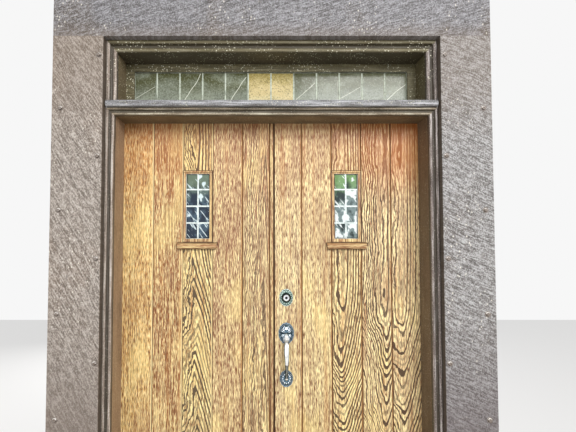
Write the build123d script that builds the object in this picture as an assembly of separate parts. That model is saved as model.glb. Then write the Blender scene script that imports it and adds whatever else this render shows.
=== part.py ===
from build123d import *
import math
import os

# A pair of oak plank doors in a moulded timber frame, with a leaded transom light over them.
# Millimetres. +X is to the right seen from outside, +Y goes into the building, +Z is up.
# The origin is on the floor, midway between the jambs, in the plane of the wall's outer face.

# Doorway and frame
clear_width = 1500.0          # between the door stops
stop_height = 2055.0          # floor to the underside of the door head stop
stop_thickness = 12.0         # planted stop, which forms the rebate
stop_gap = 1.0                # between a stop and the closed leaf
jamb_thickness = 30.0
frame_front = 20.0            # Y of the jambs' front edge, behind the casing
frame_back = 205.5            # Y of the jambs' back edge
casing_front = -10.0          # Y of the casing's highest beads
door_head_casing = 38.0       # height of the casing under the nosing
nosing_height = 30.0
nosing_front = -30.0
nosing_end_gap = 6.0          # from the end of the nosing to the board beside it
nosing_round = 6.0            # depth of its rounded front
nosing_drip = 3.0             # drip groove under the nosing

# Transom light over the doors
transom_height = 236.0        # from the top of the nosing to the head lining
transom_lining = 22.0         # thickness of the side lining there
transom_head_casing = 61.0
sash_face = 148.0             # Y of the sash's outer face
sash_thickness = 36.0
sash_stile_sight = 42.0
sash_rail_sight = 39.0
sash_bottom_rail = 45.0
sash_lip = 14.0               # from the sash's outer face to its leaded light
sash_clearance = 1.0
transom_pane_count = 12
amber_panes = (5, 6)          # counted from the left, starting at 0

# Boards round the doorway
board_width = 235.0
board_thickness = 50.0
bolt_inner_first = 423.0
bolt_top_inset = 91.0         # from the highest bolt to the header board
bolt_outer_first = 170.0
bolt_rows = 5
bolt_inner_inset = 19.0
bolt_outer_inset = 40.0
bolt_shank_radius = 5.0
bolt_hole_clearance = 1.2
bolt_head_radius = 10.0
bolt_head_height = 5.0
bolt_head_slope = 32.0        # degrees
bolt_washer_radius = 13.0
bolt_washer_thickness = 2.0
bolt_reach = 70.0             # how far the bolts stand out of the back of the boards

# Threshold
threshold_height = 27.0
threshold_front_height = 14.0
threshold_back = 232.0
threshold_flat_start = 120.0  # Y where the slope ends
threshold_chamfer = 3.0

# Leaves
leaf_face = 161.0             # Y of the planks' outer face
leaf_top_gap = 3.0
leaf_bottom_gap = 5.0
hinge_gap = 3.0               # between a leaf's edge and its jamb
plank_thickness = 19.0
plank_pitch = 151.0
closing_plank = 139.0
plank_gap = 0.6
plank_chamfer = 4.0
tongue_thickness = 6.0
tongue_depth = 7.0
tongue_clearance = 0.4
tongue_offset = 1.0           # from the middle of the plank towards its back
backing_thickness = 25.5
stile_width = 110.0
top_rail = 110.0
lock_rail = 150.0
lock_rail_centre = 1050.0
bottom_rail = 200.0
meeting_plank_edge = 7.0      # left leaf's last plank ends this far left of the centre line
meeting_strip_width = 20.0
meeting_strip_proud = 6.0
meeting_strip_round = 5.0
meeting_gap = 3.0
meeting_bevel = 2.0           # how far the right leaf's plank leans away at its face

# Leaf windows
window_drop = 250.0           # from the top of the leaf to the window frame
window_height = 366.0
window_bar = 15.0
window_top_bar = 17.0
window_bottom_bar = 18.0
window_proud = 2.0
window_lip = 8.0
window_rebate = 7.0
window_drip_height = 10.0     # of the drip moulding over the window
window_drip_proud = 6.0
window_drip_chamfer = 4.0
window_columns = 2
window_rows = 4
sill_width = 205.0
sill_bottom_width = 190.0
sill_height = 35.0
sill_slope = 9.0
sill_projection = 25.0

# Leaded glass
came_width = 9.0
came_depth = 7.0
came_edge = 6.0
came_grip = 2.0               # how far a pane reaches into its lead
pane_thickness = 3.0
glass_clearance = 0.5         # round the edge of a leaded light
glass_play = 0.2              # between a window's lip and its leaded light
bead_depth = 10.0

# Hinges
hinge_low_inset = 218.0       # from the bottom of the leaf to the middle of the lowest hinge
hinge_high_inset = 214.0      # from the top of the leaf to the middle of the highest
hinge_length = 100.0
hinge_plate = 2.5
hinge_plate_width = 23.5
hinge_barrel_radius = 6.0
hinge_offset = 8.0            # from the leaf's inner face to the hinge axis
hinge_pin_radius = 3.0
hinge_knuckles = 5
hinge_knuckle_gap = 0.4
hinge_tip_height = 5.0
hinge_tip_inset = 1.0         # of the pin's tip from the barrel's outside
hinge_tip_slope = 25.0        # degrees
running_clearance = 0.05
cut_past = 1.0                # how far a cut runs on past the face that it opens

# Lock and handle
backset = 60.0
deadbolt_height = 1170.0
lock_to_latch = 185.0         # from the lock down to the pivot of the thumb piece
bolt_bar_height = 25.0
latch_bar_height = 18.0
bolt_bar_thickness = 13.0
bolt_bar_length = 40.0
bolt_throw = 25.0
latch_throw = 12.0
bar_clearance = 0.4
bolt_setback = 0.5
strike_thickness = 2.0
strike_height = 56.0
strike_width = 17.0
strike_clearance = 1.2        # round a bolt in its strike
strike_end_gap = 2.0          # beyond the end of a bolt that is shot

rose_width = 71.0
rose_height = 88.0
rose_lobes = 16
rose_plate = 4.0
rose_dome = 4.0
guard_foot_radius = 25.0
guard_top_radius = 20.0
guard_height = 14.0
cylinder_radius = 15.5
cylinder_length = 39.0
cylinder_proud = 2.0          # in front of its guard
cylinder_chamfer = 1.5
cylinder_clearance = 0.5
plug_radius = 6.5
plug_length = 30.0
plug_end_gap = 1.0
keyway_width = 2.6
keyway_height = 8.5

upper_plate_width = 79.0
upper_plate_height = 107.0
upper_plate_rise = 7.0        # of the plate over the pivot of the thumb piece
upper_plate_lobes = 14
lower_plate_width = 67.5
lower_plate_height = 84.0
lower_plate_lobes = 12
plate_base = 3.0
plate_dome = 5.0
dome_foot = 0.40              # sizes of a plate's dome, as shares of the plate
dome_shoulder = 0.33
dome_crown = 0.2
dome_shoulder_rise = 0.7      # as a share of the dome's height
lobe_bulge = 0.055            # how far a lobe stands out, as a share of the plate's radius
boss_radius = 15.0
boss_height = 9.0             # height of the land that a foot of the grip stands on

grip_drop = 27.0              # from the pivot of the thumb piece to the upper foot
grip_length = 190.0           # between the two feet
grip_reach = 47.0
grip_wide = 27.0
grip_narrow = 15.0
grip_foot = 20.0
grip_thickness = 12.0
grip_line = ((0.18, 6.0), (0.42, 0.0), (0.72, 10.0))  # share of length, distance short of the reach

thumb_pad_width = 26.0
thumb_pad_length = 44.0
thumb_pad_thickness = 4.0
thumb_pad_gap = 3.0           # from the plate's dome to the pad
thumb_pad_dish = 5.0
thumb_pad_drop = 2.0          # of the pad's tip
thumb_pad_corner = 10.0
thumb_neck_width = 8.0
thumb_neck_height = 7.0
thumb_neck_reach = 38.0
thumb_travel = 15.0           # degrees
thumb_slot_clearance = 2.0
thumb_pivot_inset = 4.0       # from the leaf's face out to the pivot, inside the upper plate
thumb_pin_radius = 2.0
thumb_pin_length = 24.0
thumb_pin_end_gap = 0.3

inside_rose_radius = 32.0
turn_rose_radius = 27.0
inside_rose_thickness = 6.0
inside_rose_chamfer = 3.0
spindle_gap = 0.5             # from the leaf's inner face to a spindle
knob_stub_radius = 9.0
knob_radius = 27.0
knob_reach = 50.0
knob_neck = 9.0               # from its rose to where the knob widens
knob_shoulder = 22.0          # these three are measured back from the knob's crown
knob_belly = 12.0
knob_edge = 3.0
turn_stub_radius = 7.0
turn_length = 42.0
turn_width = 8.0
turn_reach = 22.0
turn_neck = 4.0
turn_paddle_gap = 3.0         # from the rose to the paddle

# Surface bolts of the left leaf
rod_radius = 6.0
rod_line = 42.0               # distance of the rods from the centre line
rod_stand_off = 10.5          # from the leaf's inner face to the rod's axis
rod_plate_thickness = 2.5
rod_plate_width = 30.0
rod_plate_length = 200.0
rod_loop_width = 24.0
rod_loop_height = 12.0
rod_loop_wall = 3.5
rod_loop_chamfer = 4.0
rod_loop_inset = 2.0          # from the end of the plate
rod_plate_gap = 14.0          # from a plate to the top or bottom of the leaf
rod_inset = 4.0               # of a rod's inner end from the end of its plate
rod_end_chamfer = 1.0
rod_top_gap = 2.0
rod_bottom_throw = 20.0
rod_end_gap = 4.0
rod_eye_clearance = 1.0
rod_knob_radius = 7.0
rod_knob_reach = 24.0
keeper_height = 26.0
keeper_gap = 5.0

# Values that follow from the ones above
half_clear = clear_width / 2
jamb_inner = half_clear + stop_thickness
frame_half = jamb_inner + jamb_thickness
bar_bottom = stop_height + stop_thickness
nosing_bottom = stop_height + door_head_casing
transom_bottom = nosing_bottom + nosing_height
transom_top = transom_bottom + transom_height
transom_half = jamb_inner - transom_lining
head_bottom = transom_top + stop_thickness
head_top = head_bottom + jamb_thickness
board_bottom_of_header = transom_top + transom_head_casing
board_outer = frame_half + board_width
bolt_span = board_bottom_of_header - bolt_top_inset - bolt_inner_first
bolt_pitch = bolt_span / (bolt_rows - 1)
header_top = board_bottom_of_header + board_width

leaf_edge = jamb_inner - hinge_gap
leaf_top = bar_bottom - leaf_top_gap
leaf_bottom = threshold_height + leaf_bottom_gap
plank_back = leaf_face + plank_thickness
leaf_back = plank_back + backing_thickness
stop_back = leaf_face - stop_gap
left_meeting = meeting_strip_width - meeting_plank_edge
right_meeting = left_meeting + meeting_gap

hinge_low = leaf_bottom + hinge_low_inset
hinge_high = leaf_top - hinge_high_inset
hinge_heights = (hinge_low, (leaf_bottom + leaf_top) / 2, hinge_high)
hinge_x = leaf_edge + hinge_gap / 2
hinge_y = leaf_back + hinge_offset

lock_x = right_meeting + backset
bar_y = plank_back + backing_thickness / 2
cylinder_front = leaf_face - guard_height - cylinder_proud
dome_front = leaf_face - plate_base - plate_dome

window_top = leaf_top - window_drop
window_bottom = window_top - window_height
glass_y = leaf_face - window_proud + window_lip + came_depth / 2 + glass_play
rod_y = leaf_back + rod_stand_off
thumb_height = deadbolt_height - lock_to_latch
thumb_pivot_y = leaf_face - thumb_pivot_inset
upper_plate_centre = thumb_height + upper_plate_rise
grip_top_foot = thumb_height - grip_drop
lower_plate_centre = grip_top_foot - grip_length


# Plain building helpers


def block(x0, x1, y0, y1, z0, z1):
    """A box between two corners."""
    centre = Pos((x0 + x1) / 2, (y0 + y1) / 2, (z0 + z1) / 2)
    return centre * Box(x1 - x0, y1 - y0, z1 - z0)


def front_plane(y):
    """A drawing plane at depth y that looks out of the building: its axes are X and Z."""
    return Plane(origin=(0, y, 0), x_dir=(1, 0, 0), z_dir=(0, -1, 0))


def prism_up(points, z0, z1):
    """An outline in X and Y, raised from z0 to z1."""
    face = make_face(Polyline(*points, close=True))
    return extrude(Plane.XY.offset(z0) * face, z1 - z0)


def prism_out(points, y0, y1):
    """An outline in X and Z, drawn from depth y1 forward to depth y0."""
    face = make_face(Polyline(*points, close=True))
    return extrude(front_plane(y1) * face, y1 - y0)


def prism_across(points, x0, x1):
    """An outline in Y and Z, drawn from x0 to x1."""
    face = make_face(Polyline(*points, close=True))
    return extrude(Plane.YZ.offset(x0) * face, x1 - x0)


def rod_along_y(x, z, radius, y0, y1):
    """A round bar from depth y0 to depth y1."""
    return extrude(front_plane(y1) * Pos(x, z) * Circle(radius), y1 - y0)


def rod_along_x(y, z, radius, x0, x1):
    """A level round bar from x0 to x1."""
    return extrude(Plane.YZ.offset(x0) * Pos(y, z) * Circle(radius), x1 - x0)


def rod_along_z(x, y, radius, z0, z1):
    """An upright round bar."""
    return extrude(Plane.XY.offset(z0) * Pos(x, y) * Circle(radius), z1 - z0)


def to_side(shape, side):
    """Pieces are drawn for the right-hand leaf; the left-hand one is its mirror image."""
    return mirror(shape, about=Plane.YZ) if side == "left" else shape


def save(name, shapes):
    """Write one node. Several pieces of one node stay separate solids."""
    solids = [solid for shape in shapes for solid in shape.solids()]
    whole = solids[0] if len(solids) == 1 else Compound(solids)
    export_step(whole, f"parts/{name}.step")


# Boards round the doorway and their bolts


def bolt_places():
    """X and Z of every bolt of the upright boards."""
    inner = frame_half + bolt_inner_inset
    outer = board_outer - bolt_outer_inset
    places = []
    for row in range(bolt_rows):
        for sign in (-1, 1):
            places.append((sign * inner, bolt_inner_first + row * bolt_pitch))
            places.append((sign * outer, bolt_outer_first + row * bolt_pitch))
    return places


def surround_board(side):
    """An upright board, drilled for its bolts."""
    board = block(frame_half, board_outer, -board_thickness, 0, 0, board_bottom_of_header)
    board = to_side(board, side)
    hole = bolt_shank_radius + bolt_hole_clearance
    for x, z in bolt_places():
        if (x < 0) == (side == "left"):
            board -= rod_along_y(x, z, hole, -board_thickness, 0)
    return board


def header_board():
    """The board that lies across the two upright ones."""
    return block(-board_outer, board_outer, -board_thickness, 0, board_bottom_of_header, header_top)


def surround_bolt(x, z):
    """A domed bolt on its washer, with a shank that goes on into the wall."""
    face = -board_thickness
    washer_front = face - bolt_washer_thickness
    shank = rod_along_y(x, z, bolt_shank_radius, washer_front, bolt_reach)
    washer = rod_along_y(x, z, bolt_washer_radius, washer_front, face)
    foot = front_plane(washer_front) * Pos(x, z) * Circle(bolt_head_radius)
    head = extrude(foot, bolt_head_height, taper=bolt_head_slope)
    return shank + washer + head


# Jambs, head, transom bar, threshold


def hinge_recess(z, plate_x):
    """The shallow pocket that takes one hinge plate, in a jamb or in a leaf's edge."""
    y0 = leaf_back - hinge_plate_width
    z0 = z - hinge_length / 2
    return block(plate_x, plate_x + hinge_plate, y0, leaf_back, z0, z0 + hinge_length)


def jamb(side):
    """A side of the frame: the board, the planted door stop and the thicker transom lining."""
    board = block(jamb_inner, frame_half, frame_front, frame_back, 0, head_top)
    for z in hinge_heights:
        board -= hinge_recess(z, jamb_inner)
    stop = block(half_clear, jamb_inner, frame_front, stop_back, 0, stop_height)
    lining = block(transom_half, jamb_inner, frame_front, sash_face, transom_bottom, transom_top)
    return [to_side(piece, side) for piece in (board, stop, lining)]


def head_jamb():
    """The top board and its lining, which the sash stands behind."""
    board = block(-jamb_inner, jamb_inner, frame_front, frame_back, head_bottom, head_top)
    lining = block(-jamb_inner, jamb_inner, frame_front, sash_face, transom_top, head_bottom)
    return [board, lining]


def transom_bar():
    """The rail between doors and transom, with the stop that the leaves close against."""
    bar = block(-jamb_inner, jamb_inner, frame_front, frame_back, bar_bottom, transom_bottom)
    stop = block(-jamb_inner, jamb_inner, frame_front, stop_back, stop_height, bar_bottom)
    return [bar, stop]


def nosing():
    """The projecting ledge over the doors, rounded in front, with a drip groove below."""
    end = frame_half - nosing_end_gap
    middle = nosing_bottom + nosing_height / 2
    round_y = nosing_front + nosing_round
    section = make_face(
        Polyline(
            (round_y, nosing_bottom),
            (frame_front, nosing_bottom),
            (frame_front, transom_bottom),
            (round_y, transom_bottom),
        )
        + ThreePointArc(
            (round_y, transom_bottom),
            (nosing_front, middle),
            (round_y, nosing_bottom),
        )
    )
    ledge = extrude(Plane.YZ.offset(-end) * section, 2 * end)
    groove_y = nosing_front + 3 * nosing_drip
    groove = block(-end, end, groove_y, groove_y + nosing_drip, nosing_bottom, nosing_bottom + nosing_drip)
    return ledge - groove


def bolt_eye(z0, z1):
    """The square space that the end of a surface bolt goes into."""
    half = rod_radius + rod_eye_clearance
    return block(-rod_line - half, -rod_line + half, rod_y - half, rod_y + half, z0, z1)


def threshold():
    """The sill that the leaves pass over, sloped to shed water and mortised for the bolt."""
    section = [
        (casing_front, 0),
        (casing_front, threshold_front_height),
        (threshold_flat_start, threshold_height),
        (threshold_back - threshold_chamfer, threshold_height),
        (threshold_back, threshold_height - threshold_chamfer),
        (threshold_back, 0),
    ]
    sill = prism_across(section, -jamb_inner, jamb_inner)
    for x0, x1 in ((-jamb_inner, -half_clear), (half_clear, jamb_inner)):
        sill -= block(x0, x1, casing_front, stop_back, 0, threshold_height)
    depth = rod_bottom_throw - rod_end_gap
    return sill - bolt_eye(threshold_height - depth, threshold_height)


# Moulded casing


def casing_section(width):
    """A bead, a hollow and a second bead on a flat back. Local x runs across, y stands out."""
    depth = frame_front - casing_front
    bead = width / 6
    shoulder = depth - bead
    hollow = width / 5
    lines = Polyline((0, shoulder), (0, 0), (width, 0), (width, shoulder))
    lines += ThreePointArc((width, shoulder), (width - bead, depth), (width - 2 * bead, shoulder))
    lines += ThreePointArc(
        (width - 2 * bead, shoulder), (width / 2, shoulder - hollow), (2 * bead, shoulder)
    )
    lines += ThreePointArc((2 * bead, shoulder), (bead, depth), (0, shoulder))
    return make_face(lines)


def casing_set(inner, z0, z1, side_width, head_height):
    """Left, right and head casing round an opening, mitred where they meet."""
    outer = inner + side_width
    top = z1 + head_height
    upright = Plane(origin=(inner, frame_front, z0), x_dir=(1, 0, 0), z_dir=(0, 0, -1))
    right = extrude(upright * casing_section(side_width), z0 - top)
    level = Plane(origin=(-outer, frame_front, z1), x_dir=(0, 0, 1), z_dir=(1, 0, 0))
    head = extrude(level * casing_section(head_height), 2 * outer)
    back = frame_front
    right &= prism_out([(inner, z0), (outer, z0), (outer, top), (inner, z1)], casing_front, back)
    head &= prism_out([(-inner, z1), (inner, z1), (outer, top), (-outer, top)], casing_front, back)
    return to_side(right, "left"), right, head


# Leaded lights


def lead_light(x0, x1, z0, z1, columns, rows):
    """Panes and the lead lattice that holds them, centred on depth glass_y of the opening."""
    wide = (x1 - x0 - 2 * came_edge - (columns - 1) * came_width) / columns
    high = (z1 - z0 - 2 * came_edge - (rows - 1) * came_width) / rows
    lattice = block(x0, x1, -came_depth / 2, came_depth / 2, z0, z1)
    panes = []
    for row in range(rows):
        for column in range(columns):
            left = x0 + came_edge + column * (wide + came_width)
            low = z0 + came_edge + row * (high + came_width)
            lattice -= block(left, left + wide, -came_depth, came_depth, low, low + high)
            pane = block(
                left - came_grip,
                left + wide + came_grip,
                -pane_thickness / 2,
                pane_thickness / 2,
                low - came_grip,
                low + high + came_grip,
            )
            panes.append(pane)
            lattice -= pane
    return panes, lattice


def ring(x0, x1, y0, y1, z0, z1, inner):
    """A rectangular frame member ring; inner is its opening as x0, x1, z0, z1."""
    hole = block(inner[0], inner[1], y0, y1, inner[2], inner[3])
    return block(x0, x1, y0, y1, z0, z1) - hole


# Transom sash


def transom_light():
    """The sash's members, its panes, its leads and the beads that hold them from inside."""
    half = jamb_inner - sash_clearance
    bottom = transom_bottom
    top = head_bottom - sash_clearance
    sight_half = transom_half - sash_stile_sight
    sight = (-sight_half, sight_half, bottom + sash_bottom_rail, transom_top - sash_rail_sight)
    grow = window_rebate
    rebate = (sight[0] - grow, sight[1] + grow, sight[2] - grow, sight[3] + grow)
    back = sash_face + sash_thickness
    lip = sash_face + sash_lip
    frame = ring(-half, half, sash_face, back, bottom, top, sight)
    frame -= block(rebate[0], rebate[1], lip, back, rebate[2], rebate[3])
    left = frame & block(-half, -sight_half, sash_face, back, bottom, top)
    right = frame & block(sight_half, half, sash_face, back, bottom, top)
    rails = frame & block(-sight_half, sight_half, sash_face, back, bottom, top)
    members = [left, right, rails]
    gap = glass_clearance
    panes, lattice = lead_light(
        rebate[0] + gap, rebate[1] - gap, rebate[2] + gap, rebate[3] - gap, transom_pane_count, 1
    )
    place = Pos(0, lip + gap / 2 + came_depth / 2, 0)
    bead_start = lip + gap / 2 + came_depth
    beads = ring(rebate[0], rebate[1], bead_start, bead_start + bead_depth, rebate[2], rebate[3], sight)
    cut = block(sight[0], sight[1], bead_start, bead_start + bead_depth, rebate[2], rebate[3])
    bead_pieces = [beads - cut, beads & cut]
    return members, [place * pane for pane in panes], place * lattice, bead_pieces


# Planks


def plank_edges(meeting):
    """X of the plank joints of a leaf on the right, from its closing edge to its hinge edge."""
    first = meeting + closing_plank
    joints = [meeting, first]
    for count in range(1, 4):
        joints.append(first + count * plank_pitch)
    joints.append(leaf_edge)
    return joints


def plank_section(x0, x1, tongue, groove):
    """A plank's outline: chamfered face, a groove on its inner side and a tongue on the other."""
    front = leaf_face
    back = plank_back
    middle = (front + back) / 2 + tongue_offset
    half = tongue_thickness / 2
    loose = tongue_clearance / 2
    points = [(x0, back), (x1, back)]
    if tongue:
        reach = x1 + tongue_depth
        points += [(x1, middle + half), (reach, middle + half)]
        points += [(reach, middle - half), (x1, middle - half)]
    points += [(x1, front + plank_chamfer), (x1 - plank_chamfer, front)]
    points += [(x0 + plank_chamfer, front), (x0, front + plank_chamfer)]
    if groove:
        depth = x0 + tongue_depth - plank_gap + tongue_clearance
        points += [(x0, middle - half - loose), (depth, middle - half - loose)]
        points += [(depth, middle + half + loose), (x0, middle + half + loose)]
    return points


def planks(meeting):
    """Five planks from the hinge side to the closing side; the third is cut for the window."""
    joints = plank_edges(meeting)
    made = []
    for index in range(5):
        x0 = joints[index] + (plank_gap / 2 if index > 0 else 0)
        x1 = joints[index + 1] - (plank_gap / 2 if index < 4 else 0)
        section = plank_section(x0, x1, tongue=index < 4, groove=index > 0)
        plank = prism_up(section, leaf_bottom, leaf_top)
        made.append(plank)
    low, high = joints[2], joints[3]
    front, back = leaf_face - cut_past, plank_back + cut_past
    frame_space = block(low, high, front, back, window_bottom, window_top)
    made[2] = made[2] - frame_space - tongue_space(high)
    made[1] = made[1] - tongue_space(low)
    return made[::-1]


def tongue_space(joint):
    """Beside the window the tongue across a joint is cut away, so that the frame fits."""
    reach = tongue_depth + plank_gap
    x0 = joint - plank_gap / 2
    return block(x0, x0 + reach, leaf_face + plank_chamfer, plank_back, window_bottom, window_top)


def bevel_cut(meeting):
    """The wedge taken off the right leaf's closing edge, so that it swings clear."""
    beyond, front = meeting - cut_past, leaf_face - cut_past
    points = [(beyond, plank_back), (meeting, plank_back), (meeting + meeting_bevel, leaf_face)]
    points += [(meeting + meeting_bevel, front), (beyond, front)]
    return prism_up(points, leaf_bottom, leaf_top)


# Backing frame behind the planks


def backing_frame(edge):
    """Stiles and rails; edge is X of the closing side of a leaf on the right."""
    y0, y1 = plank_back, leaf_back
    lock_stile = block(edge, edge + stile_width, y0, y1, leaf_bottom, leaf_top)
    hinge_stile = block(leaf_edge - stile_width, leaf_edge, y0, y1, leaf_bottom, leaf_top)
    for z in hinge_heights:
        hinge_stile -= hinge_recess(z, leaf_edge - hinge_plate)
    x0, x1 = edge + stile_width, leaf_edge - stile_width
    spans = [
        (leaf_bottom, leaf_bottom + bottom_rail),
        (lock_rail_centre - lock_rail / 2, lock_rail_centre + lock_rail / 2),
        (leaf_top - top_rail, leaf_top),
    ]
    rails = [block(x0, x1, y0, y1, low, high) for low, high in spans]
    return lock_stile, [hinge_stile] + rails


# Windows of the leaves


def window_parts(meeting):
    """Frame, retaining bead, panes and leads of the window in a leaf on the right."""
    joints = plank_edges(meeting)
    x0 = joints[2] + plank_gap / 2
    x1 = joints[3] - plank_gap / 2
    front = leaf_face - window_proud
    lip = front + window_lip
    low, high = window_bottom + window_bottom_bar, window_top - window_top_bar
    sight = (x0 + window_bar, x1 - window_bar, low, high)
    grow = window_rebate
    rebate = (sight[0] - grow, sight[1] + grow, sight[2] - grow, sight[3] + grow)
    frame = ring(x0, x1, front, leaf_back, window_bottom, window_top, sight)
    frame -= block(rebate[0], rebate[1], lip, leaf_back, rebate[2], rebate[3])
    drip = block(x0, x1, front - window_drip_proud, front, window_top - window_drip_height, window_top)
    drip_edge = drip.edges().filter_by(Axis.X).group_by(Axis.Y)[0].sort_by(Axis.Z)[-1]
    drip = chamfer(drip_edge, window_drip_chamfer)
    gap = glass_clearance
    panes, lattice = lead_light(
        rebate[0] + gap, rebate[1] - gap, rebate[2] + gap, rebate[3] - gap, window_columns, window_rows
    )
    place = Pos(0, glass_y, 0)
    start = glass_y + came_depth / 2
    bead = ring(rebate[0], rebate[1], start, start + bead_depth, rebate[2], rebate[3], sight)
    return frame + drip, bead, [place * pane for pane in panes], place * lattice


def window_sill(meeting):
    """The small ledge under the window: sloped on top, its ends cut back towards the bottom."""
    joints = plank_edges(meeting)
    centre = (joints[2] + joints[3]) / 2
    top = window_bottom
    bottom = top - sill_height
    outline = [
        (centre - sill_bottom_width / 2, bottom),
        (centre + sill_bottom_width / 2, bottom),
        (centre + sill_width / 2, top - sill_slope),
        (centre + sill_width / 2, top),
        (centre - sill_width / 2, top),
        (centre - sill_width / 2, top - sill_slope),
    ]
    front = leaf_face - sill_projection
    body = prism_out(outline, front, leaf_face)
    section = [
        (leaf_face, bottom),
        (leaf_face, top),
        (front, top - sill_slope),
        (front, bottom + sill_slope),
        (front + sill_slope, bottom),
    ]
    return body & prism_across(section, centre - sill_width, centre + sill_width)


# Hinges


def hinge(z):
    """Frame plate, leaf plate and pin of one butt hinge of the leaf on the right."""
    z0 = z - hinge_length / 2
    step = hinge_length / hinge_knuckles
    y0 = leaf_back - hinge_plate_width
    frame_plate = block(jamb_inner, jamb_inner + hinge_plate, y0, leaf_back, z0, z0 + hinge_length)
    leaf_plate = block(leaf_edge - hinge_plate, leaf_edge, y0, leaf_back, z0, z0 + hinge_length)
    for knuckle in range(hinge_knuckles):
        low = z0 + knuckle * step + hinge_knuckle_gap / 2
        high = low + step - hinge_knuckle_gap
        barrel = rod_along_z(hinge_x, hinge_y, hinge_barrel_radius, low, high)
        if knuckle % 2 == 0:
            web = block(jamb_inner, jamb_inner + hinge_plate, leaf_back, hinge_y, low, high)
            frame_plate += barrel + web
        else:
            web = block(leaf_edge - hinge_plate, leaf_edge, leaf_back, hinge_y, low, high)
            leaf_plate += barrel + web
    bore = rod_along_z(hinge_x, hinge_y, hinge_pin_radius + running_clearance, z0, z0 + hinge_length)
    tip = hinge_barrel_radius - hinge_tip_inset
    pin = rod_along_z(hinge_x, hinge_y, hinge_pin_radius, z0, z0 + hinge_length)
    for foot, way in ((z0 + hinge_length, 1), (z0, -1)):
        disc = Plane(origin=(hinge_x, hinge_y, foot), z_dir=(0, 0, way)) * Circle(tip)
        pin += extrude(disc, hinge_tip_height, taper=hinge_tip_slope)
    return frame_plate - bore, leaf_plate - bore, pin


# Lobed plates of the lock and handle


def lobed_outline(width, height, lobes):
    """An oval whose edge is a row of round lobes."""
    def point(angle, share):
        return (share * width / 2 * math.cos(angle), share * height / 2 * math.sin(angle))

    step = 2 * math.pi / lobes
    arcs = Curve()
    for lobe in range(lobes):
        start = point(lobe * step, 1 - lobe_bulge)
        middle = point((lobe + 0.5) * step, 1)
        end = point((lobe + 1) * step, 1 - lobe_bulge)
        arcs += ThreePointArc(start, middle, end)
    return make_face(arcs)


def lobed_plate(z, width, height, lobes, base, dome):
    """A lobed rim with a domed oval field, on the leaf's outer face."""
    rim = extrude(front_plane(leaf_face) * Pos(lock_x, z) * lobed_outline(width, height, lobes), base)
    ovals = []
    for share, rise in ((dome_foot, 0), (dome_shoulder, dome_shoulder_rise * dome), (dome_crown, dome)):
        oval = Ellipse(share * width, share * height)
        ovals.append(front_plane(leaf_face - base - rise) * Pos(lock_x, z) * oval)
    return rim + loft(ovals)


def deadbolt_rose():
    """The sunburst plate with the raised guard round the lock cylinder."""
    plate = lobed_plate(deadbolt_height, rose_width, rose_height, rose_lobes, rose_plate, rose_dome)
    guard_front = leaf_face - guard_height
    foot = front_plane(leaf_face) * Pos(lock_x, deadbolt_height) * Circle(guard_foot_radius)
    head = front_plane(guard_front) * Pos(lock_x, deadbolt_height) * Circle(guard_top_radius)
    guard = loft([foot, head])
    bore = cylinder_radius + running_clearance
    return plate + guard - rod_along_y(lock_x, deadbolt_height, bore, guard_front - cut_past, leaf_face)


def lock_cylinder():
    """The fixed body of the lock cylinder, bored for its plug."""
    front = cylinder_front
    body = rod_along_y(lock_x, deadbolt_height, cylinder_radius, front, front + cylinder_length)
    rim = body.edges().filter_by(GeomType.CIRCLE).sort_by(Axis.Y)[0]
    body = chamfer(rim, cylinder_chamfer)
    bore = plug_radius + running_clearance
    end = front + plug_length + plug_end_gap
    return body - rod_along_y(lock_x, deadbolt_height, bore, front - cut_past, end)


def key_plug():
    """The part of the cylinder that the key turns, with its keyway."""
    front = cylinder_front
    plug = rod_along_y(lock_x, deadbolt_height, plug_radius, front, front + plug_length)
    low = deadbolt_height - keyway_height / 2
    half = keyway_width / 2
    return plug - block(lock_x - half, lock_x + half, front, front + plug_length / 2, low, low + keyway_height)


def grip_foot_land(z):
    """The round land on a plate that one foot of the grip stands on."""
    return rod_along_y(lock_x, z, boss_radius, leaf_face - boss_height, leaf_face)


def upper_plate():
    """The larger plate: land for the grip below, slot for the thumb piece above."""
    plate = lobed_plate(
        upper_plate_centre, upper_plate_width, upper_plate_height, upper_plate_lobes, plate_base, plate_dome
    )
    plate += grip_foot_land(grip_top_foot)
    half = thumb_neck_width / 2 + thumb_slot_clearance
    tall = thumb_neck_height / 2 + 2 * thumb_slot_clearance
    front = dome_front - cut_past
    slot = block(lock_x - half, lock_x + half, front, leaf_face, thumb_height - tall, thumb_height + tall)
    bore = thumb_pin(thumb_pin_radius + running_clearance, thumb_pin_length + 2 * thumb_pin_end_gap)
    return plate - slot - bore


def thumb_pin(radius, length):
    """The pivot of the thumb piece, or the bore for it."""
    return rod_along_x(thumb_pivot_y, thumb_height, radius, lock_x - length / 2, lock_x + length / 2)


def lower_plate():
    """The smaller plate at the grip's lower end."""
    plate = lobed_plate(
        lower_plate_centre, lower_plate_width, lower_plate_height, lower_plate_lobes, plate_base, plate_dome
    )
    return plate + grip_foot_land(lower_plate_centre)


def handle_grip():
    """The bowed grip: wide where the hand starts, slim at the bottom, one smooth bar."""
    seat = leaf_face - boss_height
    bow = leaf_face - grip_reach
    points = [(lock_x, seat, grip_top_foot)]
    for share, short in grip_line:
        points.append((lock_x, bow + short, grip_top_foot - share * grip_length))
    points.append((lock_x, seat, lower_plate_centre))
    path = Spline(*points, tangents=[(0, -1, 0), (0, 1, 0)])
    widths = [
        (0.0, grip_foot),
        (0.14, 0.9 * grip_wide),
        (0.3, grip_wide),
        (0.5, 0.86 * grip_wide),
        (0.7, grip_narrow),
        (0.86, grip_narrow),
        (1.0, grip_foot),
    ]
    sections = []
    for share, width in widths:
        plane = Plane(origin=path @ share, x_dir=(1, 0, 0), z_dir=path % share)
        end = share in (0.0, 1.0)
        thick = width if end else grip_thickness
        sections.append(plane * Ellipse(width / 2, thick / 2))
    return loft(sections)


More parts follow.
